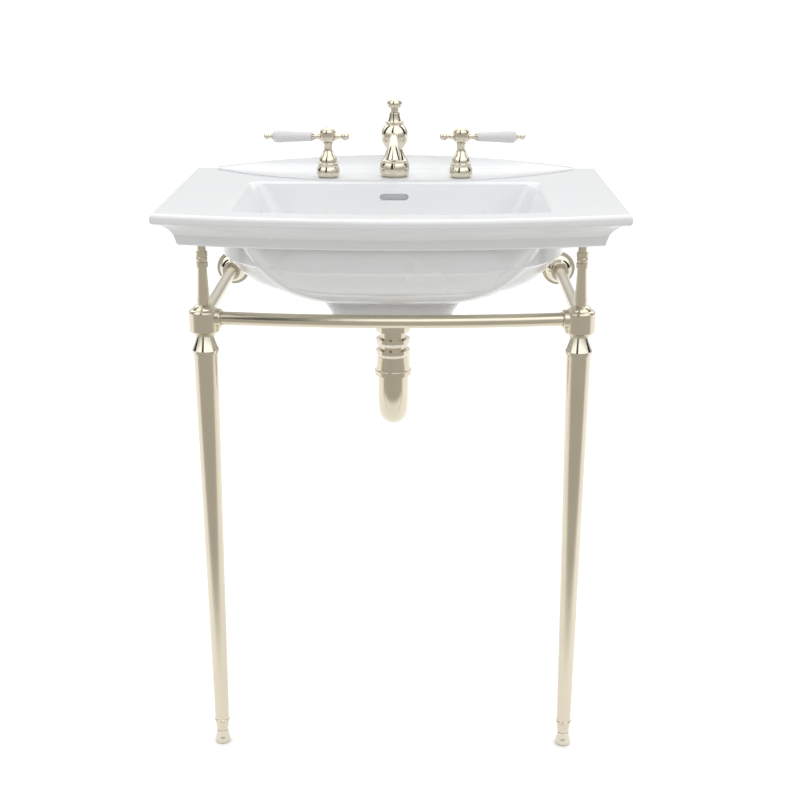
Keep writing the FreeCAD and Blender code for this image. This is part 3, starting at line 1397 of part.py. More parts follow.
def trap_nut():
    """The tapered nut that joins the tailpiece to the trap's bend, with a collar at its foot."""
    bottom, collar = size.TrapNutBottom, size.TrapNutCollarDiameter / 2
    collar_top, top = bottom + size.TrapNutCollarHeight, size.LowerRingTop - size.RingHeight
    outline = [(TRAP_SOCKET, bottom), (collar, bottom), (collar, collar_top - size.TrapNutCollarRound),
               (size.TrapNutWaistDiameter / 2, collar_top, bend(40)), (size.TrapNutTopDiameter / 2, top),
               (TAIL_SOCKET, top), (TAIL_SOCKET, size.TrapInletTop), (TRAP_SOCKET, size.TrapInletTop)]
    return turned("trap_nut", outline, 0, DRAIN_Y)


def bent_pipe(label, y, outline, diameter, wall):
    """A pipe swept along a path in the YZ plane that starts upright."""
    body = new_body(label, 0, y)
    path = new_sketch(body, "YZ_Plane")
    draw(path, outline, closed=False)
    section = new_sketch(body, "XY_Plane", outline[0][1])
    draw_circle(section, diameter)
    draw_circle(section, diameter - wall * 2)
    sweep(body, section, path)
    return body


def trap_bend():
    """The bend that holds the water seal."""
    far = size.TrapBendRadius * 2
    path = [(0, size.TrapInletTop), (0, size.TrapBendHeight), (far, size.TrapBendHeight, bend(180)),
            (far, size.TrapOutletTop)]
    return bent_pipe("trap_bend", DRAIN_Y, path, size.TrapDiameter, size.TrapWall)


def trap_arm():
    """The pipe that rises from the bend and runs back through the wall."""
    path = [(0, ARM_BOTTOM), (0, size.ArmHeight - size.ArmBendRadius),
            (size.ArmBendRadius, size.ArmHeight, bend(-90)), (WALL + size.OutletStub - ARM_Y, size.ArmHeight)]
    return bent_pipe("trap_arm", ARM_Y, path, size.ArmDiameter, size.ArmWall)


def outlet_nut():
    """The nut that joins the trap's bend to the arm."""
    outer, top = size.OutletNutDiameter / 2, size.OutletNutBottom + size.OutletNutHeight
    outline = [(TRAP_SOCKET, size.OutletNutBottom), (outer, size.OutletNutBottom),
               (outer, top - size.OutletNutShoulder), (outer - size.OutletNutShoulder, top), (ARM_SOCKET, top),
               (ARM_SOCKET, size.TrapOutletTop), (TRAP_SOCKET, size.TrapOutletTop)]
    return turned("outlet_nut", outline, 0, ARM_Y)


def wall_escutcheon():
    """The bell-shaped plate round the arm at the wall."""
    edge, depth, wall = size.EscutcheonDiameter / 2, size.EscutcheonDepth, size.EscutcheonWall
    outline = [(edge - wall, 0), (edge, 0), (edge, wall), (ARM_SOCKET + wall, depth - wall, bend(-40)),
               (ARM_SOCKET + wall, depth), (ARM_SOCKET, depth), (ARM_SOCKET, depth - wall * 3)]
    return turned("wall_escutcheon", outline, 0, WALL, size.ArmHeight, FROM_WALL)


def build_pieces():
    """Every piece of the sink, as one object each."""
    pieces = [basin(), front_rail(), rosette_screws()]
    pieces += [spout_base(), spout_body(), spout_aerator(), mixing_tee(), lock_nut("spout_locknut", 0, SPOUT_Y)]
    pieces += [drain_flange(), drain_stopper(), drain_body(), drain_gasket(), drain_nut(), pivot_rod(),
               pivot_nut(), lift_rod(), lift_clevis(), clevis_screw()]
    pieces += [tailpiece(), slip_ring("slip_ring_upper", size.UpperRingTop),
               slip_ring("slip_ring_lower", size.LowerRingTop), trap_nut(), trap_bend(), trap_arm(),
               outlet_nut(), wall_escutcheon()]
    for name, side in SIDES:
        pieces += stand_pieces(name, size.LegHalfSpacing * side, side)
        pieces += tap_pieces(name, size.TapSpacing / 2 * side, side)
    return pieces


def stand_pieces(name, x, side):
    """One leg with what stands on it, and its rail to the wall."""
    return [foot(f"{name}_foot", x), leg(f"{name}_leg", x), leg_cap(f"{name}_leg_cap", x),
            hub(f"{name}_hub", x, side), post(f"{name}_post", x), side_rail(f"{name}_side_rail", x),
            wall_rosette(f"{name}_wall_rosette", x)]


def tap_pieces(name, x, side):
    """One valve with its handle, and its tube to the tee."""
    return [valve_body(f"{name}_valve_body", x, side), lock_nut(f"{name}_valve_locknut", x, TAP_Y),
            valve_stem(f"{name}_valve_stem", x), handle_base(f"{name}_handle_base", x),
            handle_hub(f"{name}_handle_hub", x, side), handle_cap(f"{name}_handle_cap", x),
            lever_grip(f"{name}_lever_grip", x, side), lever_finial(f"{name}_lever_finial", x, side),
            connecting_tube(f"{name}_connecting_tube", side)]


def check(pieces):
    """Stops with a message if an object failed or a piece has no sound solid."""
    failed = [item.Label for item in document.Objects if {"Invalid", "Error"} & set(item.State)]
    unsound = [piece.Label for piece in pieces if piece.Shape.isNull() or not piece.Shape.isValid()
               or not piece.Shape.Solids]
    if failed or unsound:
        raise RuntimeError(f"failed: {failed}, unsound: {unsound}")


pieces = build_pieces()
document.recompute()
check(pieces)
os.makedirs("parts", exist_ok=True)
for piece in pieces:
    piece.Shape.exportStep(f"parts/{piece.Label}.step")
    print(piece.Label, len(piece.Shape.Solids), round(piece.Shape.Volume))
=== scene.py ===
# %% [markdown]
# # A console sink with two turned legs
# The sink is a glazed ceramic basin that hangs on the wall and rests on two front legs. Rails,
# legs, taps and trap are polished nickel, and the two levers have ceramic grips. The CAD frame
# gives every piece its place, so the first step is to load it and keep its box for later.

# %% Load the CAD frame
import json
import math

import bpy
from mathutils import Matrix


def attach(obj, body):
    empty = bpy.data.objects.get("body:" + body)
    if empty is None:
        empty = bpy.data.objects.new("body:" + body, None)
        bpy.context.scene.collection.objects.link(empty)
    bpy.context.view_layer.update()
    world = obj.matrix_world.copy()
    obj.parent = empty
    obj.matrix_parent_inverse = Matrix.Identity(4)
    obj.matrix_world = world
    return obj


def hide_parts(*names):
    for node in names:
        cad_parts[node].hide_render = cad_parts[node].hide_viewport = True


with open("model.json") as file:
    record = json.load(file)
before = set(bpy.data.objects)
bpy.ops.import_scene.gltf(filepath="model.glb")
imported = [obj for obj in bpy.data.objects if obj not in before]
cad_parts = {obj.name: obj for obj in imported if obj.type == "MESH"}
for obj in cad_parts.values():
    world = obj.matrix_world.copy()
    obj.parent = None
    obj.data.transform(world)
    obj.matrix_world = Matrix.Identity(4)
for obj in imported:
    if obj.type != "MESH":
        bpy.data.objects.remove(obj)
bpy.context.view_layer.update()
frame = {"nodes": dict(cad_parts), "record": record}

nodes = frame["nodes"]

# %% [markdown]
# ## Camera
# The photograph was taken from the front, a little right of the middle and well above the rim,
# with a longish lens. The camera stands at the place that was worked out from the corners of the
# basin and the feet of the legs. A small vertical shift puts the sink a little low in the frame.

# %% Camera
CAMERA_PLACE = (0.03863, -2.13613, 1.18053)
CAMERA_PITCH = 19.015
CAMERA_YAW = 0.769
FOCAL_PIXELS = 1455.51
IMAGE_SIZE = 800
SHIFT_PIXELS = 50
SENSOR_WIDTH = 36

scene = bpy.context.scene
lens = bpy.data.cameras.new("photo_camera")
camera = bpy.data.objects.new("photo_camera", lens)
scene.collection.objects.link(camera)
camera.location = CAMERA_PLACE
camera.rotation_euler = (math.radians(90 - CAMERA_PITCH), 0, math.radians(CAMERA_YAW))
lens.sensor_width = SENSOR_WIDTH
lens.lens = FOCAL_PIXELS / IMAGE_SIZE * SENSOR_WIDTH
lens.shift_y = SHIFT_PIXELS / IMAGE_SIZE
scene.camera = camera
print("lens in mm:", round(lens.lens, 2))

# %% [markdown]
# ## Shader maths
# A material is a graph of nodes. Adding each node and link by hand hides what the maths does, so
# one small class wraps a socket: an expression such as `0.1 + 0.2 * noise` adds the Math nodes,
# and one method adds every other kind of node.

# %% A wrapper for shader sockets
class Wire:
    """One output socket in a material's tree; expressions on it add Math nodes."""

    def __init__(self, tree, socket=None):
        self.tree, self.socket = tree, socket

    def node(self, kind, settings, sockets, output=0):
        """Adds a node: its settings first, then the values or wires of its sockets."""
        made = self.tree.nodes.new(kind)
        for name, value in settings.items():
            if name == "stops":
                stops = made.color_ramp.elements
                for place, tone in value:
                    stops.new(place).color = (*tone, 1)
                stops.remove(stops[0])
                stops.remove(stops[len(stops) - 1])
            else:
                setattr(made, name, value)
        for name, value in sockets.items():
            if isinstance(value, Wire):
                self.tree.links.new(value.socket, made.inputs[name])
            else:
                made.inputs[name].default_value = value
        return Wire(self.tree, made.outputs[output])

    def math(self, operation, *values):
        """Adds a Math node for one operation on wires or plain numbers."""
        return self.node("ShaderNodeMath", {"operation": operation}, dict(enumerate(values)))

    def __add__(self, other):
        return self.math("ADD", self, other)

    def __sub__(self, other):
        return self.math("SUBTRACT", self, other)

    def __rsub__(self, other):
        return self.math("SUBTRACT", other, self)

    def __mul__(self, other):
        return self.math("MULTIPLY", self, other)

    __radd__, __rmul__ = __add__, __mul__


def new_finish(name, **settings):
    """A material with one Principled shader; the settings are the same all over the surface."""
    material = bpy.data.materials.new(name)
    material.use_nodes = True
    shader = material.node_tree.nodes["Principled BSDF"]
    for socket, value in settings.items():
        shader.inputs[socket.replace("_", " ")].default_value = value
    place = Wire(material.node_tree).node("ShaderNodeTexCoord", {}, {}, "Object")
    return material, shader, place


def feed(shader, socket, wire):
    """Links a wire to one of the shader's sockets."""
    wire.tree.links.new(wire.socket, shader.inputs[socket])


def noise(place, scale, detail=2):
    """Soft noise from 0 to 1, with about `scale` blotches to the metre."""
    return place.node("ShaderNodeTexNoise", {}, {"Vector": place, "Scale": scale, "Detail": detail})


def blend(place, share, first, second):
    """A colour that goes from the first to the second as the share goes from 0 to 1."""
    return place.node("ShaderNodeMix", {"data_type": "RGBA"},
                      {0: share, 6: (*first, 1), 7: (*second, 1)}, 2)


def bump(place, height, distance):
    """A bumped normal from a height from 0 to 1 and its real depth in metres."""
    return place.node("ShaderNodeBump", {}, {"Height": height, "Distance": distance})


print("helpers:", new_finish.__name__, feed.__name__, noise.__name__, blend.__name__, bump.__name__)

# %% [markdown]
# ## Polished nickel
# Nickel plate is a warm, slightly yellow metal with a mirror polish. Real plate isn't perfect:
# buffing leaves a faint waviness, and hands leave soft patches that are a little less bright.
# Broad noise moves the tone and the roughness a little, and fine noise gives the buffed surface.
# Cast and turned pieces are buffed to a mirror. Legs, rails and trap are drawn tube, which keeps a
# softer, satin gloss, so they get the same metal with a higher roughness.

# %% Polished nickel
def make_nickel(name, light, deep, gloss):
    """Nickel between two tones; the gloss is its lowest roughness."""
    material, shader, place = new_finish(name, Metallic=1.0)
    patches = noise(place, 14, 3)
    buffing = noise(place, 420, 2)
    feed(shader, "Base Color", blend(place, patches, deep, light))
    feed(shader, "Roughness", gloss + 0.05 * patches + 0.02 * buffing)
    feed(shader, "Normal", bump(place, noise(place, 60, 2) + 0.15 * buffing, 0.00004))
    return material


nickel = make_nickel("polished_nickel", (0.73, 0.68, 0.57), (0.66, 0.61, 0.50), 0.07)
drawn_nickel = make_nickel("drawn_nickel", (0.72, 0.66, 0.53), (0.65, 0.59, 0.465), 0.17)
print("finishes:", nickel.name, drawn_nickel.name)

# %% [markdown]
# ## Glazed ceramic
# The basin is fired clay under a clear, glossy glaze. The clay gives a soft white, and the glaze
# a sharp reflection on top with a very slight orange-peel waviness. A coat layer over a smooth
# base gives both, and faint noise keeps the white from being perfectly even.

# %% Glazed ceramic
def make_ceramic(name, light, deep):
    """Glaze between two tones, with a clear coat."""
    material, shader, place = new_finish(name, Coat_Roughness=0.05, Coat_IOR=1.45)
    cloud = noise(place, 9, 3)
    peel = noise(place, 150, 1)
    feed(shader, "Base Color", blend(place, cloud, deep, light))
    feed(shader, "Roughness", 0.22 + 0.08 * cloud)
    feed(shader, "Coat Weight", 0.5 + 0.15 * cloud)
    feed(shader, "Normal", bump(place, peel, 0.00003))
    return material


ceramic = make_ceramic("basin_glaze", (0.80, 0.81, 0.82), (0.77, 0.78, 0.795))
grip_glaze = make_ceramic("lever_glaze", (0.68, 0.68, 0.68), (0.65, 0.65, 0.655))
print("finishes:", ceramic.name, grip_glaze.name)

# %% [markdown]
# ## Hidden metals, rubber and plastic
# Valves, tee and nuts are never seen in use, so they are left as machined brass with its fine
# turning marks, and small screws are zinc-plated steel. The washer is black rubber.

# %% Brass, steel, rubber and plastic
def make_machined(name, light, deep, gloss):
    """Bare metal with turning marks and a little tarnish."""
    material, shader, place = new_finish(name, Metallic=1.0)
    turning = place.node("ShaderNodeTexWave", {"bands_direction": "Z"},
                         {"Vector": place, "Scale": 700.0, "Distortion": 1.5})
    tarnish = noise(place, 45, 4)
    feed(shader, "Base Color", blend(place, tarnish, deep, light))
    feed(shader, "Roughness", gloss + 0.15 * tarnish)
    feed(shader, "Normal", bump(place, turning, 0.00003))
    return material


def make_matte(name, light, deep, gloss):
    """Rubber or plastic with a fine grain."""
    material, shader, place = new_finish(name)
    grain = noise(place, 700, 3)
    feed(shader, "Base Color", blend(place, noise(place, 60, 2), deep, light))
    feed(shader, "Roughness", gloss + 0.12 * grain)
    feed(shader, "Normal", bump(place, grain, 0.00006))
    return material


brass = make_machined("machined_brass", (0.78, 0.60, 0.33), (0.62, 0.45, 0.22), 0.24)
steel = make_machined("zinc_steel", (0.62, 0.63, 0.65), (0.50, 0.51, 0.53), 0.28)
rubber = make_matte("rubber_washer", (0.035, 0.035, 0.035), (0.022, 0.022, 0.022), 0.62)
plastic = make_matte("insert_plastic", (0.55, 0.55, 0.54), (0.47, 0.47, 0.46), 0.4)
print("finishes:", brass.name, steel.name, rubber.name, plastic.name)

# %% [markdown]
# ## Finishes on the CAD pieces
# Every CAD piece names its material slot, and each slot has one finish. Only the nickel is split:
# pieces made from tube or cast plain get the satin one.

# %% Give every CAD node its finish
finish_of_slot = {"polished_nickel": nickel, "basin_ceramic": ceramic, "lever_ceramic": grip_glaze,
                  "brass": brass, "steel": steel, "rubber": rubber, "insert_plastic": plastic}
TUBE_WORDS = ("rail", "trap", "tailpiece", "hub", "post", "outlet_nut")
for part in frame["record"]["subparts"]:
    mesh = nodes[part["node"]].data
    mesh.materials.clear()
    tube = any(word in part["node"] for word in TUBE_WORDS)
    mesh.materials.append(drawn_nickel if tube else finish_of_slot[part["material_slot"]])

# %% [markdown]
# ## How the turned pieces are drawn
# Taps, spout, legs and feet come off a lathe in real life. By hand in Blender the same shape is
# drawn as one ring of points that is pulled up the piece and widened or narrowed at each step, so
# the list of rings is the lathe's profile. A crease keeps an edge crisp, and a Subdivision Surface
# rounds all the rest, which gives the unbroken highlights of buffed metal.

# %% Draw a ring along a profile
MM = 0.001
RING_POINTS = 32


def crease(change):
    """Makes the selected ring crisper by this much, or softer where it is below 0."""
    if change:
        bpy.ops.transform.edge_crease(value=change)


def start_ring(name, place, radius, height, fill):
    """A ring of points about an upright line through the place, left in edit mode."""
    bpy.ops.object.select_all(action="DESELECT")
    bpy.ops.mesh.primitive_circle_add(vertices=RING_POINTS, radius=radius * MM, fill_type=fill,
                                      location=[value * MM for value in place])
    piece = bpy.context.object
    piece.name = piece.data.name = name
    bpy.ops.object.mode_set(mode="EDIT")
    bpy.ops.mesh.select_all(action="SELECT")
    bpy.ops.transform.translate(value=(0, 0, height * MM))
    return piece


def draw_rings(place, rings):
    """Pulls the selected ring through (radius, height, crispness), in millimetres."""
    radius, height, crisp = rings[0]
    crease(crisp)
    for wide, high, sharp in rings[1:]:
        centre = (place[0] * MM, place[1] * MM, (place[2] + high) * MM)
        rise = (0, 0, (high - height) * MM)
        share = wide / radius
        bpy.ops.mesh.extrude_region_move(TRANSFORM_OT_translate={"value": rise})
        bpy.ops.transform.resize(value=(share, share, 1), center_override=centre)
        crease(sharp - crisp)
        radius, height, crisp = wide, high, sharp


print("points on a ring:", RING_POINTS)

# %% [markdown]
# ## From rings to a finished piece
# The drawn cage is merged, its normals are turned outwards and the Subdivision Surface is applied.
# A hollow piece starts on an open ring and ends on one, and a bridge between the two closes it.

# %% Round a piece off
ROUNDING = 2
MERGE_DISTANCE = 0.00001


def round_off(piece):
    """Smooths the finished cage and sets the piece at the origin, with its place in its mesh."""
    bpy.ops.mesh.select_all(action="SELECT")
    bpy.ops.mesh.remove_doubles(threshold=MERGE_DISTANCE)
    bpy.ops.mesh.normals_make_consistent(inside=False)
    bpy.ops.object.mode_set(mode="OBJECT")
    rounding = piece.modifiers.new("rounding", "SUBSURF")
    rounding.levels = rounding.render_levels = ROUNDING
    bpy.ops.object.modifier_apply(modifier=rounding.name)
    bpy.ops.object.shade_smooth()
    bpy.ops.object.transform_apply(location=True, rotation=True, scale=True)


def turned(name, place, rings, hollow=False, lean=0):
    """A turned piece, upright or leant over; a hollow one closes on its first ring."""
    piece = start_ring(name, place, rings[0][0], rings[0][1], "NOTHING" if hollow else "NGON")
    draw_rings(place, rings)
    if hollow:
        bpy.ops.mesh.select_all(action="DESELECT")
        bpy.ops.mesh.select_non_manifold()
        bpy.ops.mesh.bridge_edge_loops()
    bpy.ops.object.mode_set(mode="OBJECT")
    piece.rotation_euler = (0, math.radians(lean), 0)
    bpy.ops.object.mode_set(mode="EDIT")
    round_off(piece)
    print(name, "faces:", len(piece.data.polygons))
    return piece


print("levels of rounding:", ROUNDING)

# %% [markdown]
# ## Copies and finishes
# Left and right are the same parts, so each is drawn once and turned half a turn for the other
# side. Every piece then gets its finish and the body that it moves with.

# %% Copy and dress a piece
def other_side(piece, name, depth):
    """A copy with its own mesh, turned half a turn about the middle of the sink at that depth."""
    bpy.ops.object.select_all(action="DESELECT")
    piece.select_set(True)
    bpy.context.view_layer.objects.active = piece
    bpy.ops.object.duplicate()
    copy = bpy.context.object
    copy.name = copy.data.name = name
    copy.rotation_euler = (0, 0, math.pi)
    copy.location = (0, 2 * depth * MM, 0)
    bpy.ops.object.transform_apply(location=True, rotation=True, scale=True)
    return copy


def finish_piece(piece, body, material, slot, *stands_for):
    """Gives a piece its finish, the body it moves with and the CAD nodes it stands for."""
    piece.data.materials.clear()
    piece.data.materials.append(material)
    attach(piece, body)
    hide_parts(*stands_for)


print("helpers:", other_side.__name__, finish_piece.__name__)

# %% [markdown]
# ## Legs and levelling feet
# Each leg is a long tapered tube that ends in a ring and a short ferrule. Under it stands a small
# bell-shaped foot on a threaded stud, which turns out of the leg to level the sink. The leg is
# drawn from the bore that takes the stud, round the ferrule and up the taper.

# %% Legs and feet
LEG_X, LEG_Y = 267, -119.5
leg_rings = [(5.4, 60, 0), (5.4, 21.3, 1), (8.6, 21.3, 0.9), (8.8, 24.5, 0), (9.7, 29, 0),
             (10.0, 35, 0), (10.4, 37.2, 0.6), (11.7, 38, 0), (11.9, 39.4, 0), (11.6, 40.8, 0),
             (10.5, 41.4, 0.8), (10.6, 44, 0), (13.9, 330, 0), (17.4, 630, 0), (17.5, 633.5, 1),
             (14.9, 633.5, 1), (14.9, 600, 0.5)]
foot_rings = [(9.4, 0, 0.6), (11.5, 0.7, 0), (11.8, 3.6, 0), (11.3, 7.5, 0), (9.9, 12, 0),
              (8.9, 17, 0), (8.7, 21, 0.9), (5.0, 21, 1), (5.0, 49.5, 0.8)]
left_leg = turned("turned_leg_left", (-LEG_X, LEG_Y, 0), leg_rings)
left_foot = turned("bell_foot_left", (-LEG_X, LEG_Y, 0), foot_rings)
right_leg = other_side(left_leg, "turned_leg_right", LEG_Y)
right_foot = other_side(left_foot, "bell_foot_right", LEG_Y)
finish_piece(left_leg, "stand", drawn_nickel, "polished_nickel", "left_leg")
finish_piece(right_leg, "stand", drawn_nickel, "polished_nickel", "right_leg")
finish_piece(left_foot, "left_levelling_foot", nickel, "polished_nickel", "left_foot")
finish_piece(right_foot, "right_levelling_foot", nickel, "polished_nickel", "right_foot")

# %% [markdown]
# ## Handle bases, barrels and caps
# A handle base is a squat bulge, a flat ring and a bell that rises to a slim neck. The barrel on
# top of it turns with the lever: its lower end is rounded in to the neck, its sides swell a little,
# and a low cap closes it. The base and the barrel are hollow for the valve's stem.

# %% Handle bases, barrels and caps
TAP_X, TAP_Y, LEDGE_TOP = 101.6, 114.5, 848.5
left_tap = (-TAP_X, TAP_Y, LEDGE_TOP)
base_rings = [(10.8, 8.3, 1), (10.8, 0, 1), (14.2, 0, 0.8), (16.6, 1.6, 0), (18.1, 5.5, 0),
              (18.1, 9.5, 0), (16.9, 14, 0), (15.4, 16.6, 0.4), (15.9, 17.4, 0.7),
              (15.9, 21.2, 0.7), (14.4, 21.9, 0.6), (14.4, 24.5, 0), (13.7, 28, 0),
              (11.9, 31.5, 0), (9.4, 35, 0), (7.2, 38.6, 0), (6.4, 43, 0), (7.3, 52.3, 0.9),
              (4.4, 52.3, 1), (4.4, 8.3, 1)]
barrel_rings = [(4.2, 52.8, 1), (7.6, 52.8, 0.8), (10.4, 53.7, 0), (12.3, 56.2, 0),
                (12.75, 60.5, 0), (12.75, 65, 0), (12.3, 68.8, 0), (11.4, 70.4, 0.3),
                (10.9, 71.2, 0.9), (4.2, 71.2, 1)]
cap_rings = [(9.5, 70.7, 1), (10.3, 71.3, 0.6), (9.9, 72.3, 0), (7.6, 73.8, 0), (4.0, 74.6, 0),
             (1.0, 74.8, 0)]
left_base = turned("turned_handle_base_left", left_tap, base_rings, hollow=True)
left_barrel = turned("turned_barrel_left", left_tap, barrel_rings, hollow=True)
left_cap = turned("domed_cap_left", left_tap, cap_rings)

# %% [markdown]
# ## Levers
# A short flared ferrule leaves the barrel on one side and holds the ceramic grip, which a small
# ball finial clamps from the outer end. A slim arm with a ball balances it on the other side. They
# are drawn upright like the rest and then leant over to the lever's own line.

# %% Levers
LEVER_HEIGHT = 61.2
left_lever = (-TAP_X, TAP_Y, LEDGE_TOP + LEVER_HEIGHT)
ferrule_rings = [(4.0, 6, 0), (6.4, 10.6, 0), (5.0, 13, 0), (3.9, 15.4, 0), (3.7, 17.6, 0),
                 (4.6, 20.4, 0), (6.4, 22.6, 0), (7.1, 23.4, 0.7), (7.1, 24.4, 0.9),
                 (5.0, 24.5, 0.8)]
counter_rings = [(4.0, 6, 0), (6.0, 10.8, 0), (4.6, 13.4, 0), (3.5, 16.4, 0), (3.1, 19.4, 0),
                 (3.3, 21.4, 0.3), (5.0, 23, 0), (5.9, 25.6, 0), (5.9, 28.2, 0), (4.7, 31, 0),
                 (2.6, 32.6, 0), (0.7, 33, 0)]
grip_rings = [(4.4, 24.6, 0.6), (6.7, 24.7, 0.7), (7.2, 26.2, 0), (7.4, 32, 0), (8.1, 48, 0),
              (9.0, 64, 0), (9.8, 73, 0), (9.8, 78, 0), (8.9, 81.6, 0), (6.6, 83.3, 0),
              (4.6, 83.5, 0.6)]
finial_rings = [(3.4, 83.2, 0), (4.8, 83.6, 0.7), (4.8, 84.8, 0.4), (3.6, 86.4, 0), (2.5, 88.6, 0),
                (3.0, 89.6, 0), (4.5, 91, 0), (4.9, 93.2, 0), (4.3, 95.6, 0), (2.6, 97.5, 0),
                (0.7, 98, 0)]
left_ferrule = turned("lever_ferrule_left", left_lever, ferrule_rings, lean=-90)
left_counter = turned("counter_ball_left", left_lever, counter_rings, lean=90)
left_grip = turned("ceramic_grip_left", left_lever, grip_rings, lean=-90)
left_finial = turned("ball_finial_left", left_lever, finial_rings, lean=-90)

# %% Copy the tap to the right and dress both
tap_pieces = [(left_base, "stand", nickel, "polished_nickel", ["handle_base"]),
              (left_barrel, "handle", nickel, "polished_nickel", ["handle_hub"]),
              (left_cap, "handle", nickel, "polished_nickel", ["handle_cap"]),
              (left_ferrule, "handle", nickel, "polished_nickel", []),
              (left_counter, "handle", nickel, "polished_nickel", []),
              (left_grip, "handle", grip_glaze, "lever_ceramic", ["lever_grip"]),
              (left_finial, "handle", nickel, "polished_nickel", ["lever_finial"])]
for piece, part, material, slot, stands_for in tap_pieces:
    pair = {"left": piece, "right": other_side(piece, piece.name.replace("left", "right"), TAP_Y)}
    for side, copy in pair.items():
        body = part if part == "stand" else f"{side}_{part}"
        finish_piece(copy, body, material, slot, *[f"{side}_{node}" for node in stands_for])
print("tap pieces:", 2 * len(tap_pieces))

# %% [markdown]
# ## Spout
# The spout is a bulb on a waist, with a ring on top and a smooth neck that tapers to the lift knob.
# Its base repeats the handle bases, larger. Bulb and neck are hollow for the lift rod, which slides
# up through them.

# %% Spout base, bulb and neck
SPOUT_Y = 126.5
spout_place = (0, SPOUT_Y, LEDGE_TOP)
spout_base_rings = [(10.8, 40.8, 1), (10.8, 0, 1), (19.4, 0, 0.7), (22.2, 2.2, 0), (23.4, 7.5, 0),
                    (23.4, 13, 0), (22.2, 18.6, 0), (20.8, 21.6, 0.4), (21.3, 22.4, 0.7),
                    (21.3, 24.6, 0.7), (19.6, 25.2, 0.6), (17.2, 28.6, 0), (14.6, 34, 0),
                    (12.9, 38.6, 0), (12.6, 40.8, 0.8)]
bulb_rings = [(3.3, -66, 1), (10.5, -66, 1), (10.5, 41, 1), (12.2, 41, 0.7), (12.9, 42.6, 0),
              (16.2, 46.6, 0), (19.9, 53, 0), (21.4, 60.5, 0), (20.2, 68.5, 0), (16.4, 75.4, 0),
              (13.2, 78.4, 0.5), (14.4, 78.8, 0.5), (14.8, 80.4, 0), (14.4, 82, 0.5),
              (10.4, 82.5, 0.8), (9.4, 86, 0), (8.3, 92, 0), (7.7, 96.4, 0.7), (3.3, 96.6, 1)]
spout_foot = turned("turned_spout_base", spout_place, spout_base_rings, hollow=True)
bulb = turned("spout_bulb_and_neck", spout_place, bulb_rings, hollow=True)
finish_piece(spout_foot, "stand", nickel, "polished_nickel", "spout_base")
finish_piece(bulb, "stand", nickel, "polished_nickel", "spout_body")

# %% Lift rod and knob
rod_rings = [(3.0, -125.5, 0.8), (3.0, 96.9, 1), (5.6, 96.9, 0.8), (6.6, 98, 0), (6.4, 100.4, 0),
             (6.2, 102.2, 0.4), (9.6, 103.2, 0), (11.6, 106, 0), (11.8, 109.6, 0),
             (10.6, 113.4, 0), (7.2, 116.2, 0), (3.4, 117.2, 0), (0.8, 117.4, 0)]
lift_knob = turned("lift_rod_and_knob", spout_place, rod_rings)
finish_piece(lift_knob, "lift", nickel, "polished_nickel", "lift_rod")

# %% [markdown]
# ## Nozzle
# The nozzle is a trumpet: it leaves the bulb, rises a little, arches over and widens down to its
# mouth. It can't be turned in one go, so the ring of points is drawn along a bent line: each step
# moves it on, tilts it and widens it. The last steps fold the wall inwards, which makes the mouth.

# %% Nozzle
# Each step: forward from the spout's line, height above the ledge, climb in degrees, radius
nozzle_steps = [(12, 60.6, 4, 7.6), (24, 61.6, 5, 7.2), (42, 63.4, 7, 6.8), (58, 65.6, 6, 6.6),
                (70, 66.3, -3, 6.7), (82, 64.4, -18, 7.1), (93, 59.4, -35, 7.9),
                (101, 52.6, -52, 8.9), (106.4, 45.4, -68, 10.1), (108.8, 40.6, -80, 11.2),
                (109.4, 38.4, -85, 11.7)]
mouth_steps = [(109.4, 38.4, -85, 9.9), (109.0, 43, -85, 9.3)]


def tilted(piece, degrees, centre):
    """Tilts the selected ring about a line from left to right through its centre."""
    back = Matrix.Translation([-value for value in centre])
    turn = Matrix.Translation(centre) @ Matrix.Rotation(math.radians(degrees), 4, "X") @ back
    bpy.ops.object.mode_set(mode="OBJECT")
    for vertex in piece.data.vertices:
        if vertex.select:
            vertex.co = turn @ vertex.co
    bpy.ops.object.mode_set(mode="EDIT")


def draw_nozzle(name, steps):
    """Draws a ring from the bulb to the mouth through (forward, height, climb, radius)."""
    forward, height, climb, radius = steps[0]
    start = (0, SPOUT_Y - forward, LEDGE_TOP + height)
    piece = start_ring(name, start, radius, 0, "NGON")
    bpy.ops.object.mode_set(mode="OBJECT")
    bpy.ops.object.transform_apply(location=True)
    bpy.ops.object.mode_set(mode="EDIT")
    tilted(piece, 90 - climb, [value * MM for value in start])
    for next_forward, next_height, next_climb, next_radius in steps[1:]:
        centre = (0, (SPOUT_Y - next_forward) * MM, (LEDGE_TOP + next_height) * MM)
        move = (0, (forward - next_forward) * MM, (next_height - height) * MM)
        bpy.ops.mesh.extrude_region_move(TRANSFORM_OT_translate={"value": move})
        tilted(piece, climb - next_climb, centre)
        share = next_radius / radius
        bpy.ops.transform.resize(value=(share, share, share), center_override=centre)
        forward, height, climb, radius = next_forward, next_height, next_climb, next_radius
    round_off(piece)
    print(name, "faces:", len(piece.data.polygons))
    return piece


nozzle = draw_nozzle("spout_nozzle", nozzle_steps + mouth_steps)
finish_piece(nozzle, "stand", nickel, "polished_nickel", "spout_body")

# %% Outlet insert in the nozzle's mouth
OUTLET_FORWARD = 109.2
aerator_rings = [(9.2, 39.6, 1), (9.2, 42.6, 1), (1.6, 42.6, 1), (1.6, 39.6, 1)]
outlet_place = (0, SPOUT_Y - OUTLET_FORWARD, LEDGE_TOP)
aerator = turned("spout_outlet_ring", outlet_place, aerator_rings, hollow=True)
finish_piece(aerator, "stand", plastic, "insert_plastic", "spout_aerator")
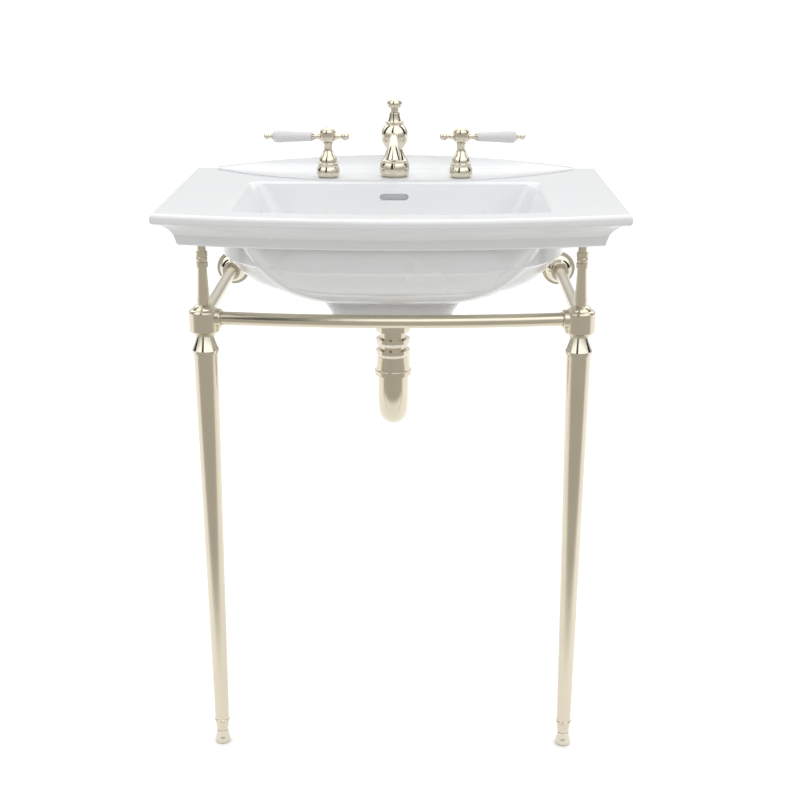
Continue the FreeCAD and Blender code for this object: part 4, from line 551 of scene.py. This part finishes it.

# %% [markdown]
# ## Floor and light
# A plain pale floor carries the sink, and a soft sky lights it. Outside the picture, in front of
# the sink, the floor is painted a little greyer: painted shade for the dim room there, because
# polished metal only shows what stands round it.
# For the same reason the sky is dim at the horizon, bright overhead and crossed by a few dark
# strips, as between the lamps of a studio: they draw the black streaks on the taps and the caps.

# %% Floor
FLOOR_SIZE = 400
# Painted shade: the floor's second tone stands for the dim room in front of the sink, and fades in
# between the two distances in front of it.
FLOOR_PALE, FLOOR_PAINTED_SHADE = (0.93, 0.93, 0.93), (0.38, 0.37, 0.34)
PAINTED_SHADE_FROM, PAINTED_SHADE_FULL = 0.30, 0.80


def ramp(value, low, high):
    """A smooth step from 0 to 1 between two values."""
    return value.node("ShaderNodeMapRange", {"interpolation_type": "SMOOTHSTEP"},
                      {0: value, 1: low, 2: high})


def axis_of(vector, axis):
    """One of a vector's coordinates."""
    return vector.node("ShaderNodeSeparateXYZ", {}, {0: vector}, axis)


bpy.ops.object.select_all(action="DESELECT")
bpy.ops.mesh.primitive_plane_add(size=FLOOR_SIZE)
floor = bpy.context.object
floor.name = floor.data.name = "floor"
floor_finish, floor_shader, floor_place = new_finish("floor", Roughness=0.8)
# Painted shade: the floor turns greyer towards the front, where the room is dim.
painted_shade_ahead = ramp(-1 * axis_of(floor_place, "Y"), PAINTED_SHADE_FROM, PAINTED_SHADE_FULL)
clouds = 1 - 0.02 * noise(floor_place, 2.0)
feed(floor_shader, "Base Color", blend(floor_place, painted_shade_ahead * clouds, FLOOR_PALE, FLOOR_PAINTED_SHADE))
floor.data.materials.append(floor_finish)
print("floor:", [round(v, 1) for v in floor.dimensions])

# %% Sky
SKY_STRENGTH = 1.70
# Each stop: the sine of the height above the horizon, and the sky's tone there
SKY_STOPS = [(0.0, (0.30, 0.30, 0.30)), (0.20, (0.36, 0.36, 0.36)), (0.44, (0.95, 0.95, 0.95)),
             (1.0, (1.0, 1.0, 1.0))]
# Each strip: its bearing from straight in front, its half width and its top, in degrees
STRIPS = [(-20, 11, 88), (-100, 14, 62), (100, 14, 62)]
STRIP_START, STRIP_FULL = 3, 7
STRIP_SIDE, STRIP_END = 0.06, 0.03
STRIP_TONE = (0.01, 0.01, 0.01, 1)


def sine(degrees):
    """The sine of an angle in degrees."""
    return math.sin(math.radians(degrees))


world = bpy.data.worlds.new("studio")
world.use_nodes = True
direction = Wire(world.node_tree).node("ShaderNodeTexCoord", {}, {}, "Generated")
climb = axis_of(direction, "Z")
bearing = direction.math("ARCTAN2", axis_of(direction, "X"), -1 * axis_of(direction, "Y"))
glow = climb.node("ShaderNodeValToRGB", {"stops": SKY_STOPS}, {0: climb})
for centre, half, top in STRIPS:
    offset = direction.math("ABSOLUTE", bearing - math.radians(centre))
    across = ramp(math.radians(half) - offset, 0, STRIP_SIDE)
    upward = ramp(climb, sine(STRIP_START), sine(STRIP_FULL))
    under_top = ramp(sine(top) - climb, 0, STRIP_END)
    glow = glow.node("ShaderNodeMix", {"data_type": "RGBA"},
                     {0: across * (upward * under_top), 6: glow, 7: STRIP_TONE}, 2)
background = world.node_tree.nodes["Background"].inputs
world.node_tree.links.new(glow.socket, background["Color"])
background["Strength"].default_value = SKY_STRENGTH
scene.world = world
scene.view_settings.view_transform = "Standard"
print("strips in the sky:", len(STRIPS))
